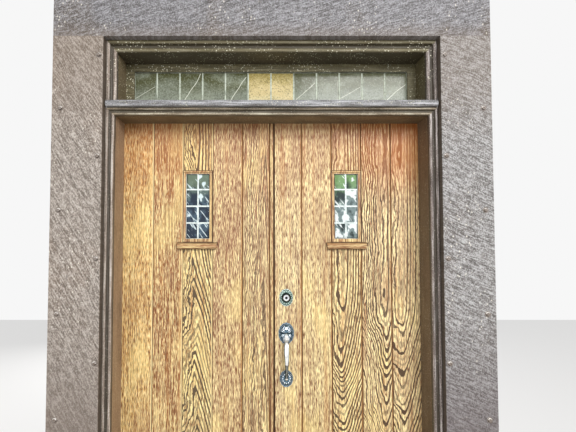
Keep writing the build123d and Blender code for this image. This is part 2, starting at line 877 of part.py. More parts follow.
def thumb_piece():
    """Pad and neck in one, drawn level and then tipped to the pressed position."""
    neck = block(
        lock_x - thumb_neck_width / 2,
        lock_x + thumb_neck_width / 2,
        dome_front - thumb_pad_gap - cut_past,
        leaf_face + thumb_neck_reach,
        thumb_height - thumb_neck_height / 2,
        thumb_height + thumb_neck_height / 2,
    )
    pad_start = dome_front - thumb_pad_gap
    pad_end = pad_start - thumb_pad_length
    pad_middle = (pad_start + pad_end) / 2
    top = thumb_height + thumb_pad_thickness / 2
    low = top - thumb_pad_thickness
    tip_top, tip_low = top - thumb_pad_drop, low - thumb_pad_drop
    upper = ThreePointArc((pad_start, top), (pad_middle, top - thumb_pad_dish), (pad_end, tip_top))
    lower = ThreePointArc((pad_end, tip_low), (pad_middle, low - thumb_pad_dish), (pad_start, low))
    sides = Line((pad_end, tip_top), (pad_end, tip_low)) + Line((pad_start, low), (pad_start, top))
    section = make_face(upper + lower + sides)
    half = thumb_pad_width / 2
    pad = extrude(Plane.YZ.offset(lock_x - half) * section, 2 * half)
    upright = pad.edges().filter_by(Axis.Z)
    pad = fillet(upright.sort_by(Axis.Y)[:2], thumb_pad_corner)
    piece = neck + pad + thumb_pin(thumb_pin_radius, thumb_pin_length)
    pivot = Axis((lock_x, thumb_pivot_y, thumb_height), (1, 0, 0))
    return piece.rotate(pivot, thumb_travel)


def thumb_slot():
    """The pocket through plank and stile that the neck of the thumb piece moves in."""
    half = thumb_neck_width / 2 + thumb_slot_clearance
    swing = math.tan(math.radians(thumb_travel)) * (thumb_neck_reach + thumb_pivot_inset)
    low = thumb_height - thumb_neck_height / 2 - swing - thumb_slot_clearance
    high = thumb_height + thumb_neck_height / 2 + swing + thumb_slot_clearance
    end = leaf_face + thumb_neck_reach + thumb_slot_clearance
    return block(lock_x - half, lock_x + half, leaf_face - cut_past, end, low, high)


# Bolts in the lock stile and their strikes


def lock_bar(z, height):
    """A square-ended bolt, drawn back just inside the closing edge."""
    x0 = right_meeting + bolt_setback
    half_y = bolt_bar_thickness / 2
    return block(x0, x0 + bolt_bar_length, bar_y - half_y, bar_y + half_y, z - height / 2, z + height / 2)


def latch_bar():
    """The spring latch: one corner of its nose is sloped so that the door closes onto it."""
    bar = lock_bar(thumb_height, latch_bar_height)
    beyond = right_meeting - cut_past
    back = bar_y + bolt_bar_thickness / 2 + cut_past
    slope = [
        (beyond, back),
        (right_meeting + 0.8 * latch_throw, back),
        (beyond, bar_y - bolt_bar_thickness / 4),
    ]
    return bar - prism_up(slope, thumb_height - latch_bar_height, thumb_height + latch_bar_height)


def bar_channel(z, height):
    """The channel in the right leaf's stile that a bolt slides in."""
    half_y = bolt_bar_thickness / 2 + bar_clearance
    half_z = height / 2 + bar_clearance
    x1 = right_meeting + bolt_setback + bolt_bar_length + bar_clearance
    return block(right_meeting - cut_past, x1, bar_y - half_y, bar_y + half_y, z - half_z, z + half_z)


def strike_pocket(z, height, throw):
    """The pocket in the left leaf's edge that the bolt shoots into."""
    half_y = bolt_bar_thickness / 2 + strike_clearance
    half_z = height / 2 + strike_clearance
    depth = throw - meeting_gap + strike_end_gap
    return block(left_meeting - depth, left_meeting, bar_y - half_y, bar_y + half_y, z - half_z, z + half_z)


def strike_plate(z, height, throw):
    """A flush plate round the pocket."""
    return strike_seat(z) - strike_pocket(z, height, throw)


def strike_seat(z):
    """The shallow recess that takes a strike plate, which fills it."""
    half_y = strike_width / 2
    low = z - strike_height / 2
    x0 = left_meeting - strike_thickness
    return block(x0, left_meeting, bar_y - half_y, bar_y + half_y, low, low + strike_height)


# Inside furniture of the right leaf


def inside_rose(z, radius, stub_radius):
    """A plain round rose on the inner face, bored for its spindle."""
    y1 = leaf_back + inside_rose_thickness
    rose = rod_along_y(lock_x, z, radius, leaf_back, y1)
    rim = rose.edges().filter_by(GeomType.CIRCLE).sort_by(Axis.Y)[-1]
    rose = chamfer(rim, inside_rose_chamfer)
    return rose - rod_along_y(lock_x, z, stub_radius + running_clearance, leaf_back, y1 + cut_past)


def inside_knob():
    """A turned knob on its neck."""
    neck_end = inside_rose_thickness + knob_neck
    outline = Polyline((0, spindle_gap), (knob_stub_radius, spindle_gap), (knob_stub_radius, neck_end))
    outline += Spline(
        (knob_stub_radius, neck_end),
        (0.86 * knob_radius, knob_reach - knob_shoulder),
        (knob_radius, knob_reach - knob_belly),
        (0.8 * knob_radius, knob_reach - knob_edge),
        (0, knob_reach),
        tangents=[(1, 0.4), (-1, 0)],
    )
    outline += Line((0, knob_reach), (0, spindle_gap))
    profile = Plane(origin=(lock_x, leaf_back, upper_plate_centre), x_dir=(1, 0, 0), z_dir=(0, 0, 1))
    axis = Axis((lock_x, leaf_back, upper_plate_centre), (0, 1, 0))
    return revolve(profile * make_face(outline), axis, 360)


def thumb_turn():
    """The inside turn of the deadbolt: a stub with an oval paddle."""
    y1 = leaf_back + inside_rose_thickness
    stub = rod_along_y(lock_x, deadbolt_height, turn_stub_radius, leaf_back + spindle_gap, y1 + turn_neck)
    outline = Pos(lock_x, deadbolt_height) * SlotOverall(turn_length, turn_width, rotation=90)
    paddle = extrude(front_plane(y1 + turn_reach) * outline, turn_reach - turn_paddle_gap)
    return stub + paddle


# Surface bolts of the left leaf


def rod_loops(z0, z1):
    """Back plate with three loops for one surface bolt."""
    x = -rod_line
    half = rod_plate_width / 2
    plate = block(x - half, x + half, leaf_back, leaf_back + rod_plate_thickness, z0, z1)
    middle = (z0 + z1) / 2
    loop_half = rod_loop_height / 2
    half_x = rod_loop_width / 2
    outer = rod_y + rod_radius + rod_loop_wall
    end = loop_half + rod_loop_inset
    for z in (z0 + end, middle, z1 - end):
        loop = block(x - half_x, x + half_x, leaf_back, outer, z - loop_half, z + loop_half)
        plate += chamfer(loop.edges().filter_by(Axis.Z).group_by(Axis.Y)[-1], rod_loop_chamfer)
    bore = rod_radius + running_clearance
    return plate - rod_along_z(x, rod_y, bore, z0 - cut_past, z1 + cut_past)


def sliding_rod(z0, z1, knob_z):
    """A round bolt with the knob that moves it."""
    x = -rod_line
    rod = rod_along_z(x, rod_y, rod_radius, z0, z1)
    ends = rod.edges().filter_by(GeomType.CIRCLE)
    rod = chamfer(ends, rod_end_chamfer)
    knob_y = rod_y + rod_knob_reach - rod_knob_radius
    stem = rod_along_y(x, knob_z, 0.6 * rod_knob_radius, rod_y, knob_y)
    ball = Pos(x, knob_y, knob_z) * Sphere(rod_knob_radius)
    return rod + stem + ball


def bolt_keeper():
    """The bracket on the transom bar that the top bolt shoots into."""
    x = -rod_line
    half = rod_loop_width / 2
    low = bar_bottom + keeper_gap
    outer = rod_y + rod_radius + rod_loop_wall
    keeper = block(x - half, x + half, frame_back, outer, low, low + keeper_height)
    keeper = chamfer(keeper.edges().filter_by(Axis.Z).group_by(Axis.Y)[-1], rod_loop_chamfer)
    return keeper - bolt_eye(low, low + keeper_height)


def meeting_strip():
    """The rounded strip on the left leaf's closing edge. Its proud part stops under the head."""
    x0 = -meeting_plank_edge
    x1 = left_meeting
    proud = leaf_face - meeting_strip_proud
    radius = meeting_strip_round
    turn = 0.3 * radius
    section = make_face(
        Polyline((x0, proud + radius), (x0, plank_back), (x1, plank_back), (x1, proud + radius))
        + ThreePointArc((x1, proud + radius), (x1 - turn, proud + turn), (x1 - radius, proud))
        + Line((x1 - radius, proud), (x0 + radius, proud))
        + ThreePointArc((x0 + radius, proud), (x0 + turn, proud + turn), (x0, proud + radius))
    )
    strip = extrude(Plane.XY.offset(leaf_bottom) * section, leaf_top - leaf_bottom)
    return strip - block(x0, x1, proud, leaf_face, stop_height - leaf_top_gap, leaf_top)


def make_frame():
    """Everything that stays on the wall."""
    save("left_surround_board", [surround_board("left")])
    save("right_surround_board", [surround_board("right")])
    save("header_surround_board", [header_board()])
    save("surround_bolts", [surround_bolt(x, z) for x, z in bolt_places()])
    save("left_jamb", jamb("left"))
    save("right_jamb", jamb("right"))
    save("head_jamb", head_jamb())
    save("transom_bar", transom_bar())
    save("threshold", [threshold()])
    save("transom_nosing", [nosing()])
    side = frame_half - half_clear
    door_left, door_right, door_head = casing_set(half_clear, 0, stop_height, side, door_head_casing)
    side = frame_half - transom_half
    upper = casing_set(transom_half, transom_bottom, transom_top, side, transom_head_casing)
    save("left_casing", [door_left, upper[0]])
    save("right_casing", [door_right, upper[1]])
    save("head_casings", [door_head, upper[2]])
    members, panes, lattice, beads = transom_light()
    save("transom_sash", members)
    save("transom_clear_panes", [pane for i, pane in enumerate(panes) if i not in amber_panes])
    save("transom_amber_panes", [pane for i, pane in enumerate(panes) if i in amber_panes])
    save("transom_cames", [lattice])
    save("transom_glazing_beads", beads)
    save("bolt_keeper", [bolt_keeper()])


def make_hinges():
    """Six hinges, three to a leaf."""
    sets = [hinge(z) for z in hinge_heights]
    sides = ("left", "right")
    save("frame_hinge_plates", [to_side(parts[0], side) for side in sides for parts in sets])
    save("hinge_pins", [to_side(parts[2], side) for side in sides for parts in sets])
    for side in sides:
        save(f"{side}_hinge_plates", [to_side(parts[1], side) for parts in sets])


def make_leaf(side, meeting, edge):
    """What the two leaves have in common, with the lock stile returned for its cuts."""
    boards = [to_side(plank, side) for plank in planks(meeting)]
    lock_stile, others = backing_frame(edge)
    frame, bead, panes, lattice = window_parts(meeting)
    save(f"{side}_window_frame", [to_side(frame, side), to_side(bead, side)])
    save(f"{side}_window_panes", [to_side(pane, side) for pane in panes])
    save(f"{side}_window_cames", [to_side(lattice, side)])
    save(f"{side}_window_sill", [to_side(window_sill(meeting), side)])
    return boards, to_side(lock_stile, side), [to_side(other, side) for other in others]


def make_left_leaf():
    """The leaf that stays bolted: meeting strip, strikes and surface bolts."""
    boards, stile, others = make_leaf("left", meeting_plank_edge, -left_meeting)
    lock_points = (
        (deadbolt_height, bolt_bar_height, bolt_throw),
        (thumb_height, latch_bar_height, latch_throw),
    )
    for z, height, throw in lock_points:
        stile = stile - strike_pocket(z, height, throw) - strike_seat(z)
    for number, board in enumerate(boards, start=1):
        save(f"left_plank_{number}", [board])
    save("left_backing_frame", [stile] + others)
    save("meeting_strip", [meeting_strip()])
    save("strike_plates", [strike_plate(*point) for point in lock_points])
    top_end = leaf_top - rod_top_gap
    bottom_end = leaf_bottom + rod_end_gap
    high = (leaf_top - rod_plate_gap - rod_plate_length, leaf_top - rod_plate_gap)
    low = (leaf_bottom + rod_plate_gap, leaf_bottom + rod_plate_gap + rod_plate_length)
    save("bolt_guides", [rod_loops(*high), rod_loops(*low)])
    knob_step = rod_plate_length / 4
    save("top_bolt", [sliding_rod(high[0] + rod_inset, top_end, high[0] + knob_step)])
    save("bottom_bolt", [sliding_rod(bottom_end, low[1] - rod_inset, low[1] - knob_step)])


def make_right_leaf():
    """The leaf in daily use: lock, latch and handle."""
    boards, stile, others = make_leaf("right", right_meeting, right_meeting)
    hole = cylinder_radius + cylinder_clearance
    cylinder_end = cylinder_front + cylinder_length + cylinder_clearance
    cylinder_hole = rod_along_y(lock_x, deadbolt_height, hole, leaf_face - cut_past, cylinder_end)
    stile -= bar_channel(deadbolt_height, bolt_bar_height)
    stile -= bar_channel(thumb_height, latch_bar_height)
    stile = stile - cylinder_hole - thumb_slot()
    boards[-1] = boards[-1] - cylinder_hole - thumb_slot() - bevel_cut(right_meeting)
    for number, board in enumerate(boards, start=1):
        save(f"right_plank_{number}", [board])
    save("right_backing_frame", [stile] + others)
    save("deadbolt_rose", [deadbolt_rose()])
    save("lock_cylinder", [lock_cylinder()])
    save("handle_upper_plate", [upper_plate()])
    save("handle_lower_plate", [lower_plate()])
    save("handle_grip", [handle_grip()])
    knob_rose = inside_rose(upper_plate_centre, inside_rose_radius, knob_stub_radius)
    save("inside_roses", [knob_rose, inside_rose(deadbolt_height, turn_rose_radius, turn_stub_radius)])
    save("key_plug", [key_plug()])
    save("deadbolt_bolt", [lock_bar(deadbolt_height, bolt_bar_height)])
    save("latch_bolt", [latch_bar()])
    save("thumb_piece", [thumb_piece()])
    save("inside_knob", [inside_knob()])
    save("thumb_turn", [thumb_turn()])


os.makedirs("parts", exist_ok=True)
make_frame()
make_hinges()
make_left_leaf()
make_right_leaf()
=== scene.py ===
# %% [markdown]
# A pair of oak plank doors stands in a painted frame, under a narrow leaded light and between wide
# rough-sawn boards. The solids come in already measured and placed. This lesson gives them
# their surfaces: oak grain, weathered paint, lead, old glass and cast metal.

# %% Load the solids
import math

import bmesh
import bpy
import numpy as np
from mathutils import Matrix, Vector


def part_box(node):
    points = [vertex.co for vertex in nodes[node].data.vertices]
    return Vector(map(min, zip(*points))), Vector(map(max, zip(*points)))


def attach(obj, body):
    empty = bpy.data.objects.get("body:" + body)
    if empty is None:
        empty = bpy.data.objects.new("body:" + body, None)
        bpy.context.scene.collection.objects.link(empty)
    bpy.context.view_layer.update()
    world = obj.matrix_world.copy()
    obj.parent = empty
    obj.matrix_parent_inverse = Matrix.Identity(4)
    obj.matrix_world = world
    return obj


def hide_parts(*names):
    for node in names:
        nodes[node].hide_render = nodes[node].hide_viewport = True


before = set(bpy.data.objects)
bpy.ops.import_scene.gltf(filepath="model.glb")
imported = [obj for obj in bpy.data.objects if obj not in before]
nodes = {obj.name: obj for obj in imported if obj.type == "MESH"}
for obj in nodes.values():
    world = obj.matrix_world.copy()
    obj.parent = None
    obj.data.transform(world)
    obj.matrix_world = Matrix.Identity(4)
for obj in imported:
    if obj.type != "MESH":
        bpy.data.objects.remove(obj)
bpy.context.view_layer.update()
print("solids loaded:", len(nodes))

# %% [markdown]
# The view is taken from standing height, about two metres in front of the doors and a little left of
# their middle. The camera is tipped up by less than three degrees, so the jambs stay almost parallel.
# A small sideways shift keeps the doors square-on while the frame of the picture sits further right.

# %% Camera
camera_place = (-0.046, -2.173, 1.482)
camera_tilt = 2.44
camera_lens = 28.75
picture_width = 576
picture_shift = 26 / picture_width


def put(name, data):
    """A new object in the scene."""
    thing = bpy.data.objects.new(name, data)
    bpy.context.collection.objects.link(thing)
    return thing


camera_data = bpy.data.cameras.new("view_camera")
camera_data.lens = camera_lens
camera_data.shift_x = picture_shift
camera = put("view_camera", camera_data)
camera.location = camera_place
camera.rotation_euler = (math.radians(90 + camera_tilt), 0, 0)
bpy.context.scene.camera = camera
bpy.context.scene.view_settings.view_transform = "Standard"
print("camera at", camera_place)

# %% [markdown]
# Soft daylight reaches the doorway from the right, so the left reveal is bright and the right one dim.
# Three wide area lamps give that: a large one on the right, a weaker one on the left and one behind for
# the inner side.

# %% Lamps
door_middle = Vector((0, 0.1, 1.25))
for name, place, size, power in (("key_lamp", (1.5, -3.9, 3.4), 2, 197),
                                 ("fill_lamp", (-3, -4.2, 2), 3, 70),
                                 ("inner_lamp", (-1.2, 4.2, 2.4), 2.5, 150)):
    data = bpy.data.lights.new(name, "AREA")
    data.size = size
    data.energy = power
    lamp = put(name, data)
    lamp.location = place
    lamp.rotation_euler = (door_middle - Vector(place)).to_track_quat("-Z", "Y").to_euler()
print("lamps:", len(bpy.data.lights))

# %% [markdown]
# Every finish here is a sum of patterns: rings plus streaks plus dirt. Nodes are clumsy for sums, so a
# small class wraps one output of a node tree and lets Python's own signs add the Math nodes. A second
# class holds a tree while it is being made, and its one method adds any other kind of node. The third
# holds a material. Noise scales are for each metre.


# %% Shader sums written as Python
def light(value):
    """A screen colour such as "#a08060" as light values. Anything else stays as it is."""
    if not str(value).startswith("#"):
        return value
    shares = [int(value[k:k + 2], 16) / 255 for k in (1, 3, 5)]
    return tuple(s / 12.92 if s <= 0.04045 else ((s + 0.055) / 1.055) ** 2.4 for s in shares) + (1,)


class Field:
    """One output of a node tree, such as a number that changes over the surface."""

    def __init__(self, owner, output):
        self.owner = owner
        self.output = output

    def maths(self, operation, other=0):
        return self.owner.node("ShaderNodeMath", {"operation": operation}, {0: self, 1: other})

    def __add__(self, other):
        return self.maths("ADD", other)

    def __sub__(self, other):
        return self.maths("SUBTRACT", other)

    def __rsub__(self, other):
        return self.owner.node("ShaderNodeMath", {"operation": "SUBTRACT"}, {0: other, 1: self})

    def __mul__(self, other):
        return self.maths("MULTIPLY", other)

    def __truediv__(self, other):
        return self.maths("DIVIDE", other)

    def at_most(self, limit):
        return self.maths("MINIMUM", limit)

    def smooth(self, low, high):
        """0 below low, 1 above high, and an even curve between."""
        sockets = {"Value": self, "From Min": low, "From Max": high}
        return self.owner.node("ShaderNodeMapRange", {"interpolation_type": "SMOOTHSTEP"}, sockets)


class Nodes:
    """A node tree while it is being made."""

    def __init__(self, tree):
        self.tree = tree

    def node(self, kind, settings=None, sockets=None, out=0):
        """Any node: its settings first, then the value or link of each socket."""
        node = self.tree.nodes.new(kind)
        for key, value in (settings or {}).items():
            setattr(node, key, value)
        for key, value in (sockets or {}).items():
            if isinstance(value, Field):
                self.tree.links.new(value.output, node.inputs[key])
            else:
                node.inputs[key].default_value = light(value)
        return Field(self, node.outputs[out])

    def vector(self, x, y, z):
        return self.node("ShaderNodeCombineXYZ", None, {"X": x, "Y": y, "Z": z})

    def split(self, vector):
        """The three parts of a vector."""
        parts = self.node("ShaderNodeSeparateXYZ", None, {0: vector}).output.node.outputs
        return [Field(self, part) for part in parts]


class Finish(Nodes):
    """A material while it is being made. x, y and z are the place, and facing is the way a surface looks."""

    def __init__(self, name, **constants):
        self.material = bpy.data.materials.new(name)
        self.material.use_nodes = True
        super().__init__(self.material.node_tree)
        self.shader = self.tree.nodes["Principled BSDF"]
        for socket, value in constants.items():
            self.shader.inputs[socket.replace("_", " ")].default_value = value
        self.x, self.y, self.z = self.split(self.node("ShaderNodeTexCoord", out="Object"))
        self.facing_x, _, self.facing_z = self.split(self.node("ShaderNodeNewGeometry", out="Normal"))

    def at(self, scale, seed):
        """The place, scaled: one scale for all directions or one for each."""
        wide, deep, tall = scale if isinstance(scale, tuple) else (scale, scale, scale)
        return self.vector(self.x * wide + seed, self.y * deep, self.z * tall)

    def noise(self, scale, seed=0, detail=2):
        """Soft noise from 0 to 1."""
        sockets = {"Vector": self.at(scale, seed), "Scale": 1, "Detail": detail}
        return self.node("ShaderNodeTexNoise", None, sockets)

    def cells(self, scale, seed=0):
        """Distance to the nearest of many scattered points."""
        sockets = {"Vector": self.at(scale, seed), "Scale": 1}
        return self.node("ShaderNodeTexVoronoi", None, sockets, "Distance")

    def chance(self, number):
        """A random value from 0 to 1 for each number."""
        return self.node("ShaderNodeTexWhiteNoise", {"noise_dimensions": "1D"}, {"W": number})

    def ramp(self, level, *stops):
        """Colours by level."""
        ready = self.node("ShaderNodeValToRGB", None, {"Fac": level})
        elements = ready.output.node.color_ramp.elements
        while len(elements) < len(stops):
            elements.new(0.5)
        for element, (position, colour) in zip(elements, stops):
            element.position = position
            element.color = light(colour)
        return ready

    def coats(self, base, *coats):
        """A colour with other colours laid over it one by one, each by its share."""
        for colour, share in coats:
            base = self.node("ShaderNodeMix", {"data_type": "RGBA"}, {0: share, 6: base, 7: colour}, 2)
        return base

    def inward(self, low, high):
        """Distance from the nearest edge of a box, seen from the front."""
        sideways = (self.x - low[0]).at_most(high[0] - self.x)
        return sideways.at_most((self.z - low[2]).at_most(high[2] - self.z))

    def done(self, colour, rough, height=None, distance=0, strength=1):
        """Feed the shader: colour, roughness, and bumps of a height in metres."""
        ready = {"Base Color": colour, "Roughness": rough}
        if height:
            sockets = {"Height": height, "Distance": distance, "Strength": strength}
            ready["Normal"] = self.node("ShaderNodeBump", None, sockets)
        for socket, value in ready.items():
            self.tree.links.new(value.output, self.shader.inputs[socket])
        return self


def dress(finish, *names):
    """Give a finish to CAD nodes."""
    for name in names:
        for slot in nodes[name].material_slots:
            slot.material = finish.material


def register(piece, body, node=None):
    """Hide the solid that a piece stands for, if one is given, and let the piece ride a body."""
    if node:
        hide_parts(node)
    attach(piece, body)


print("shader helpers ready")

# %% [markdown]
# The sky is dim for the light it gives, but white wherever the camera, a gloss or a pane looks straight
# at it.

# %% Sky
sky_dim, sky_white = 0.42, 0.93
world = bpy.data.worlds.new("pale_sky")
world.use_nodes = True
sky = Nodes(world.node_tree)
seen, glossy, through = (sky.node("ShaderNodeLightPath", out=f"Is {kind} Ray")
                         for kind in ("Camera", "Glossy", "Transmission"))
straight = seen.maths("MAXIMUM", glossy).maths("MAXIMUM", through)
sky_light = sky.tree.nodes["Background"]
sky_light.inputs["Color"].default_value = (1, 1, 1, 1)
sky.tree.links.new((straight * (sky_white - sky_dim) + sky_dim).output, sky_light.inputs["Strength"])
bpy.context.scene.world = world
print("sky strength:", sky_dim, "to", sky_white)

# %% [markdown]
# Oak shows its growth rings. A plank cut through the side of a trunk crosses them as long pointed arches,
# nested in each other, and one cut beside them shows only fine upright lines. A ring line is a sum here:
# the height over the spacing of the arches, and the distance from the plank's heart line over the width
# of a ring. Noise makes the rings wander, every ring has its own darkness, and short dark and pale flecks
# lie along the wood. Bevelled edges are coloured by the way they face: painted shade where they face left
# and a painted highlight where they face right. The tops of the leaves turn orange and dark, partly soot and
# partly painted shade, and a framed piece has a painted shadow line along its edges. Where a piece lies down,
# as a rail or a sill does, height and width change places in the sums.


# %% Oak grain
leaf_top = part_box("right_plank_2")[1][2]


def oak_rings(finish, heart, arches, ring_width, wander, seed):
    """Dark ring lines. arches is the rise between two arches, where they start, and their bluntness."""
    rise, start, blunt = arches
    broad = finish.noise((5, 5, 2.6), seed, 2) - 0.5
    jagged = finish.noise((58, 58, 26), seed + 7.3, 2) - 0.5
    sideways = finish.x - heart + broad * (0.05 * wander) + jagged * (0.010 * wander)
    height = finish.z - start + broad * 0.25
    below = (height - (height * height + 0.01).maths("SQRT")) * 0.5
    spread = (sideways * sideways + blunt * blunt).maths("SQRT") / ring_width
    steep = (sideways * sideways) * 150
    rings = below / rise - spread - steep + broad * (4.5 * wander) + jagged * (0.5 * wander)
    place = rings.maths("FRACT")
    own = finish.chance(rings.maths("FLOOR") + seed)
    return place.smooth(0.30, 0.52) * (1 - place.smooth(0.84, 0.94)) * (own * 0.5 + 0.5)


def oak(name, colours, heart=0.3, arches=(1000, 0, 0.01), ring_width=0.014, wander=1, contrast=1,
        flecks=1, threads=0.45, bevel="#b07c48", lines="#3c220e", outline=None, top_tint=0.1,
        lying=(), seed=0):
    """Oak, with a colour for the top, the middle and the foot of the leaf, and a painted highlight colour for
    its bevels that face right.
    """
    finish = Finish(name, Roughness=0.55)
    side, height = finish.x, finish.z
    rim = finish.inward(*outline) if outline else None
    if lying:
        flat = 0
        for left, right, low, high in lying:
            inside = (side - left).smooth(0, 0.0005) * (right - side).smooth(0, 0.0005)
            flat = inside * (height - low).smooth(0, 0.0005) * (high - height).smooth(0, 0.0005) + flat
        finish.x = side + (height - side) * flat
        finish.z = height + (side - height) * flat
    line = oak_rings(finish, heart, arches, ring_width, wander, seed)
    top, centre, foot = colours
    streaks = finish.noise((38, 38, 1.4), seed + 9.1, 3)
    level = (height + (streaks - 0.5) * 0.5) / leaf_top
    wood = finish.ramp(level, (0, foot), (0.45, centre), (0.72, centre), (1, top))
    pepper = finish.noise((310, 310, 34), seed + 2.6, 5)
    clouds = finish.noise((7, 7, 3), seed + 7.7, 2)
    long = finish.noise((235, 235, 6), seed + 5.5, 3)
    calm = finish.coats(
        wood,
        ("#ffecb2", pepper.smooth(0.50, 0.58) * (0.85 * flecks)),
        ("#68340e", pepper.smooth(0.49, 0.41) * (0.95 * flecks)),
        ("#703e18", long.smooth(0.51, 0.60) * (threads * 0.8 + 0.28)),
        ("#ffeaa8", long.smooth(0.48, 0.39) * (threads * 0.7 + 0.25)),
        ("#b06e30", streaks.smooth(0.48, 0.32) * 0.35),
        ("#966a4a", clouds.smooth(0.52, 0.66) * 0.3),
        ("#fce296", clouds.smooth(0.48, 0.34) * 0.3))
    if contrast > 0.5:
        calm = finish.coats(wood, (calm, 1 - line * 0.5))
    broken = pepper.smooth(0.62, 0.38) * 0.35 + 0.8
    pores = finish.noise((420, 420, 30), seed + 1.7, 1).smooth(0.54, 0.7)
    colour = finish.coats(
        calm,
        (lines, (line.smooth(0.25, 0.9) * broken * contrast).at_most(0.96)),
        ("#543214", pores * 0.3),
        # The tops turn orange and dark: partly soot, partly painted shade under the head.
        ("#aa601a", height.smooth(1.60, 1.90) * top_tint),
        ("#7a4218", height.smooth(1.90, 2.07) * 0.45),
        # Painted shade on bevels that face left and a painted highlight on bevels that face right.
        ("#522e14", (0 - finish.facing_x).smooth(0.35, 0.6) * 0.85),
        (bevel, finish.facing_x.smooth(0.35, 0.6) * 0.85))
    # A painted shadow line along the front edges of a framed piece, where it meets its neighbours.
    if outline:
        colour = finish.coats(colour, ("#3a2010", (1 - rim.smooth(0.002, 0.0045)) * 0.8))
    height_of_grain = 0 - line * 0.6 - pores * 0.5 + pepper * 0.4
    return finish.done(colour, line * 0.2 + pores * 0.15 + 0.42, height_of_grain, 0.0008, 0.8)


# A painted highlight for the right-facing bevels of the brighter planks.
bevel_highlight = "#f8e2aa"
for name, colours, values in (
        ("left_plank_1", ("#d0862e", "#e2b062", "#d2ac68"),
         dict(contrast=0.2, threads=0.3, top_tint=0.25, bevel=bevel_highlight, seed=11)),
        ("left_plank_2", ("#ba782e", "#ac6e34", "#ba9258"),
         dict(contrast=0.35, threads=0.6, top_tint=0.35, bevel=bevel_highlight, seed=22)),
        ("left_plank_3", ("#f0c478", "#f4d68e", "#faecaa"),
         dict(heart=-0.004, arches=(-0.056, 1.44, 0.004), ring_width=0.020, wander=1.9, threads=0.5,
              contrast=1.3, bevel=bevel_highlight, lines="#423020", seed=33)),
        ("left_plank_4", ("#b48662", "#ae8462", "#c6a674"),
         dict(contrast=0.2, threads=0.3, seed=44)),
        ("left_plank_5", ("#c29a70", "#caac84", "#d4bc88"),
         dict(contrast=0.8, heart=0.045, arches=(-0.30, 2, 0.004), ring_width=0.013, wander=1.2,
              threads=0.7, seed=55)),
        ("right_plank_5", ("#c09a70", "#ceb690", "#caae7c"),
         dict(contrast=0.15, threads=0.3, seed=115)),
        ("right_plank_4", ("#c49e6e", "#ceb68a", "#d4ba84"),
         dict(contrast=0.15, threads=0.25, seed=104)),
        ("right_plank_3", ("#a87846", "#eed296", "#fff0ac"),
         dict(heart=-0.025, arches=(0.042, 1.08, 0.012), ring_width=0.0165, contrast=1.15, top_tint=0.3,
              seed=93)),
        ("right_plank_2", ("#b07a3c", "#f6deac", "#e2c07e"),
         dict(heart=0.041, arches=(0.044, 1.05, 0.011), ring_width=0.0165, contrast=1.15, top_tint=0.5,
              seed=82)),
        ("right_plank_1", ("#aa6626", "#ffe4b0", "#ffecb2"),
         dict(heart=-0.023, arches=(0.042, 1.06, 0.008), ring_width=0.0165, contrast=1.2, top_tint=0.65,
              seed=71))):
    low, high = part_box(name)
    heart = (low[0] + high[0]) / 2 + values.pop("heart", 0.3)
    dress(oak(name.replace("plank", "oak"), colours, heart=heart, **values), name)
trim_colours = ("#b28252", "#be9264", "#b88e62")
strip_colours = ("#a07044", "#a87a50", "#a0764c")
below_all, above_all = -1, 4
stile_width, foot_rail, head_rail, lock_rail = 0.110, 0.200, 0.110, (0.975, 1.125)
for side in ("left", "right"):
    for piece, lying in (("window_frame", ()), ("window_sill", [(-2, 2, below_all, above_all)])):
        name = f"{side}_{piece}"
        dress(oak(f"{name}_oak", trim_colours, contrast=0.3, flecks=0.6, outline=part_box(name), lying=lying,
                  seed=140), name)
    name = f"{side}_backing_frame"
    low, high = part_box(name)
    rails = [(low[0] + stile_width, high[0] - stile_width, foot, head)
             for foot, head in ((below_all, low[2] + foot_rail), lock_rail, (high[2] - head_rail, above_all))]
    dress(oak(f"{side}_frame_oak", trim_colours, contrast=0.4, lying=rails, seed=140), name)
dress(oak("strip_oak", strip_colours, contrast=0.4, flecks=0.7, outline=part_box("meeting_strip"), seed=150),
      "meeting_strip")
print("oak finishes:", sum("oak" in material.name for material in bpy.data.materials))

# %% [markdown]
# A dark seal, a soft-edged bar, fills the gap where the leaves meet; its dark colour is partly a painted
# shade for that gap. It rides the left leaf.

# %% Seal in the meeting gap
# The seal's dark colour is partly a painted shade for the gap.
seal_dark = Finish("seal_dark")
seal_dark.done(seal_dark.coats("#30221a", ("#5c4432", seal_dark.noise((300, 300, 20), 5))),
               seal_dark.noise(200, 8) * 0.3 + 0.6)
seal_width, seal_front, seal_back = 0.0026, 0.1705, 0.1785
strip_low, strip_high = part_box("meeting_strip")
corner = (strip_high[0], seal_front, strip_low[2])
sizes = (seal_width, seal_back - seal_front, strip_high[2] - strip_low[2])
work = bmesh.new()
bmesh.ops.create_cube(work, size=1)
for vertex in work.verts:
    vertex.co = [low + (share + 0.5) * size for low, share, size in zip(corner, vertex.co, sizes)]
bmesh.ops.bevel(work, geom=list(work.edges), offset=min(sizes) * 0.2, segments=2, affect="EDGES")
seal_mesh = bpy.data.meshes.new("meeting_seal")
work.to_mesh(seal_mesh)
work.free()
seal_mesh.materials.append(seal_dark.material)
register(put("meeting_seal", seal_mesh), "left_leaf")
print("seal sizes:", [round(size, 4) for size in sizes])

# %% [markdown]
# The frame is old brown paint on softwood. The wood's streaks show through it and it wears pale on the beads.
# The hollows and the faces under the ledges carry painted shade. Up in the head, where no rain reaches, it is
# greenish with moss and darker with painted shade, with pale specks. The depth of a point tells a bead from a
# hollow, and the direction a face looks tells a soffit, so one finish serves every stick of the frame. The two
# reveals are lit and shaded copies: the left one painted lighter and the right one darker.


# %% Frame paint
# With no_hollows the paint gets no painted shade from depth.
no_hollows = (1, 0.9)    # both depths lie behind the whole door


